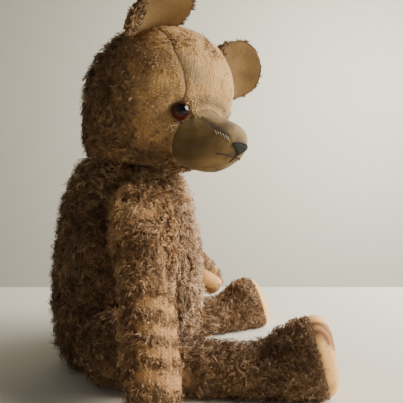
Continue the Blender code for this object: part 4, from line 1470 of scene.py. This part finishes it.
def gusset_stitches(tree):
    """Make the gusset's seam threads from the ears to the muzzle, on both sides."""
    parts = []
    for side in SIDES.values():
        placed = []
        for angle in np.linspace(-8, 76, 60):
            out = np.array((math.cos(math.radians(angle)), 0, math.sin(math.radians(angle))))
            seam_line = PROFILE_MIDDLE + (0, side * curve_at(angle, GUSSET), 0)
            start, goal = to_world((seam_line + 0.165 * out, seam_line), "head")
            spot, normal, _, _ = tree.ray_cast(Vector(start), Vector(goal - start))
            if spot is not None:
                placed.append(spot - normal * 0.0001)
        parts.append(tube(placed, THREAD["gusset seam"], 5))
    sew("gusset_seams", parts, "head", "seam")


# ---------------------------------------------------------------- ears


def ear_disc():
    """Press a square grid into a disc; give its points' y and z, its quads and its rim in order."""
    axis = np.linspace(-1, 1, EAR_STEPS)
    wide, tall = np.meshgrid(axis, axis, indexing="ij")
    index = np.arange(EAR_STEPS ** 2).reshape(EAR_STEPS, EAR_STEPS)
    quads = np.stack((index[:-1, :-1], index[1:, :-1], index[1:, 1:], index[:-1, 1:]), -1).reshape(-1, 4)
    rim = np.concatenate((index[0, :-1], index[:-1, -1], index[-1, :0:-1], index[:0:-1, 0]))
    y, z = wide * np.sqrt(1 - tall ** 2 / 2), tall * np.sqrt(1 - wide ** 2 / 2)
    return y.ravel(), z.ravel(), quads, rim


def ear_turn(name):
    """Give the turn that takes an ear's points into the head's frame."""
    outward = Matrix.Rotation(SIDES[name] * -EAR_TURN, 3, "Z")
    return np.array(outward @ Matrix.Rotation(EAR_NOD[name], 3, "Y")).T


def ear_points(y, z, front, name):
    """Give a disc of an ear; front is 1 for the velvet's face and -1 for the back."""
    reach = np.hypot(y, z)
    plump = np.sqrt(np.clip(1 - reach ** 4, 0, 1))
    depth = EAR_CUP * reach ** 2 + front * (0.0002 + (0.0021 if front > 0 else 0.0024) * plump)
    wave = 0.0012 * np.sin(3 * np.arctan2(z, y) + (0.6 if name == "right" else 2.1)) * reach ** 2
    points = np.stack((depth + wave, EAR_RADIUS * y, EAR_RADIUS * z), -1)
    placed = to_world(points @ ear_turn(name) + mirrored(EAR_SPOT[name], SIDES[name]), "head")
    lean, shift = EAR_SET[name]
    placed[:, 0] += lean * (placed[:, 2] - placed[:, 2].min()) + shift
    return placed


def make_ear(name, head_tree):
    """Make an ear of a velvet front and a furry back that meet at a turned seam."""
    side = SIDES[name]
    y, z, quads, rim = ear_disc()
    reach = np.hypot(y, z)
    count = len(reach)
    after = np.roll(rim, -1)
    ring = np.stack((rim, after, after + count, rim + count), 1)
    edge = EAR_RADIUS * (1 - np.tile(reach, 2))
    skins = []
    for front, part, material, slot, node in ((1, "velvet", "ear", "ear_velvet", "front"),
                                              (-1, "plush", "ear_back", "mohair", "back")):
        outer, inner = (ear_points(y, z, depth, name) for depth in (front, front * 0.2))
        for layer in (outer, inner):
            for number, (spot, normal, height) in enumerate(nearest(head_tree, layer)):
                if height < -EAR_SINK:
                    layer[number] = np.array(spot - normal * EAR_SINK)
        faces = quads[:, ::front]
        shell = np.concatenate((faces, faces[:, ::-1] + count, ring[:, ::-front]))
        piece = mesh_object(f"ear_{name}_{part}", np.concatenate((outer, inner)), shell,
                            {"edge": edge, "grey": 0 * edge})
        dress(piece, "head", material, [f"ear_{name}_{node}"])
        skins.append(Skin("head", outer, faces))
    face, back = skins
    out = turn_to_world(np.stack((0 * y, y, z), 1) @ ear_turn(name), "head")
    flow = out + turn_to_world((-0.5, 0, -0.25), "head")
    clear = np.array([height for _, _, height in nearest(head_tree, back.points)])
    rim_share = 1.6 if name == "right" else -0.55
    density = ease(clear, 0.0, 0.002) * (0.75 + rim_share * ease(reach, 0.86, 0.98))
    length = 0.0058 - 0.0022 * ease(reach, 0.8, 1.0)
    shade = 0.40 + 0.3 * (cloud(back.points, 0.012, 401, 2) - 0.5)
    grow(f"ear_{name}_pile", back, "ear", "head_pile", density, length, flow, shade, 411 + side)
    across = (face.points[:, 0] - face.points[:, 0].mean()) / EAR_RADIUS
    height = (face.points[:, 2] - face.points[:, 2].min()) / np.ptp(face.points[:, 2])
    rolled = ease(across + EAR_ROLL[name] - 0.62 * height, 0.04, -0.06)
    away = np.array([head_tree.find_nearest(Vector(point))[3] for point in face.points])
    grow(f"ear_{name}_roll", face, "ear roll", "head_pile", rolled * ease(away, 0.0005, 0.003),
         0.0050 - 0.0010 * height, flow, shade, 431 + side)


# ---------------------------------------------------------------- the bear


def dress_hidden_nodes():
    """Give the stuffing and the joint hardware inside the bear their own materials."""
    endings = {"_stuffing": "wood_wool", "_disc": "fibreboard", "_washer": "steel", "_pin": "steel",
               "_shank": "steel"}
    for name, node in NODES.items():
        for ending, material in endings.items():
            if name.endswith(ending):
                node.data.materials.clear()
                node.data.materials.append(MATERIALS[material])


def make_bear():
    """Make every piece of the bear."""
    make_torso()
    head, muzzle = make_head()
    tree, velvet_tree = head.tree(), tree_of(muzzle)
    for name in SIDES:
        make_eye(name)
        make_ear(name, tree)
        make_arm(name)
        make_leg(name)
    eyelid_threads(tree)
    make_nose(velvet_tree)
    make_mouth(velvet_tree)
    make_stitches(velvet_tree)
    gusset_stitches(tree)
    dress_hidden_nodes()


def make_stage():
    """Make the pale table and the plain wall behind it."""
    for name, colour, half, front, back in (
            ("table", (0.63, 0.597, 0.505), 2.2, (-1.6, 0), (TABLE_EDGE, 0)),
            ("wall", (0.71, 0.674, 0.545), 5.0, (WALL_PLACE, -1.5), (WALL_PLACE, 3.5))):
        corners = ((-half, *front), (half, *front), (half, *back), (-half, *back))
        stage = mesh_object(name, [STAGE_TURN @ Vector(corner) for corner in corners], [[0, 1, 2, 3]])
        stage.data.materials.append(plain_stage(name + "_paint", colour, 0.85))


def soft_light(name, place, goal, size, power, colour):
    """Make a soft light, placed by the stage, that faces a point."""
    place = STAGE_TURN @ Vector(place)
    light = bpy.data.lights.new(name, "AREA")
    light.size = size
    light.energy = power
    light.color = colour
    made = add_object(name, light)
    made.location = place
    made.rotation_euler = (Vector(goal) - place).to_track_quat("-Z", "Y").to_euler()


def make_lights():
    """Light the bear from its front and side, with a weak pale room round it."""
    chest = (0.03, 0.0, 0.18)
    wall_spot = STAGE_TURN @ Vector((0.45, WALL_PLACE, 0.05))
    soft_light("key", (1.25, -0.20, 0.80), chest, 0.75, 40.0, (1.0, 0.94, 0.85))
    soft_light("fill", (-0.5, -1.5, 0.7), chest, 1.4, 1.2, (1.0, 0.97, 0.94))
    soft_light("wall_light", (1.1, 0.45, 0.85), wall_spot, 1.2, 46.0, (1.0, 0.98, 0.95))
    world = bpy.data.worlds.new("room")
    bpy.context.scene.world = world
    world.use_nodes = True
    backdrop = world.node_tree.nodes["Background"]
    backdrop.inputs["Color"].default_value = (0.90, 0.88, 0.85, 1.0)
    backdrop.inputs["Strength"].default_value = 0.20


def make_camera():
    """Look at the bear level with its chest, from its right side and a little to the front."""
    lens = bpy.data.cameras.new("camera")
    lens.sensor_width = SENSOR_WIDTH
    lens.lens = LENS_LENGTH
    lens.clip_start = 0.01
    made = add_object("camera", lens)
    made.location = CAMERA_PLACE
    made.rotation_euler = (STAGE_TURN @ Vector((0, 1, 0))).to_track_quat("-Z", "Y").to_euler()
    bpy.context.scene.camera = made


make_bear()
make_stage()
make_lights()
make_camera()
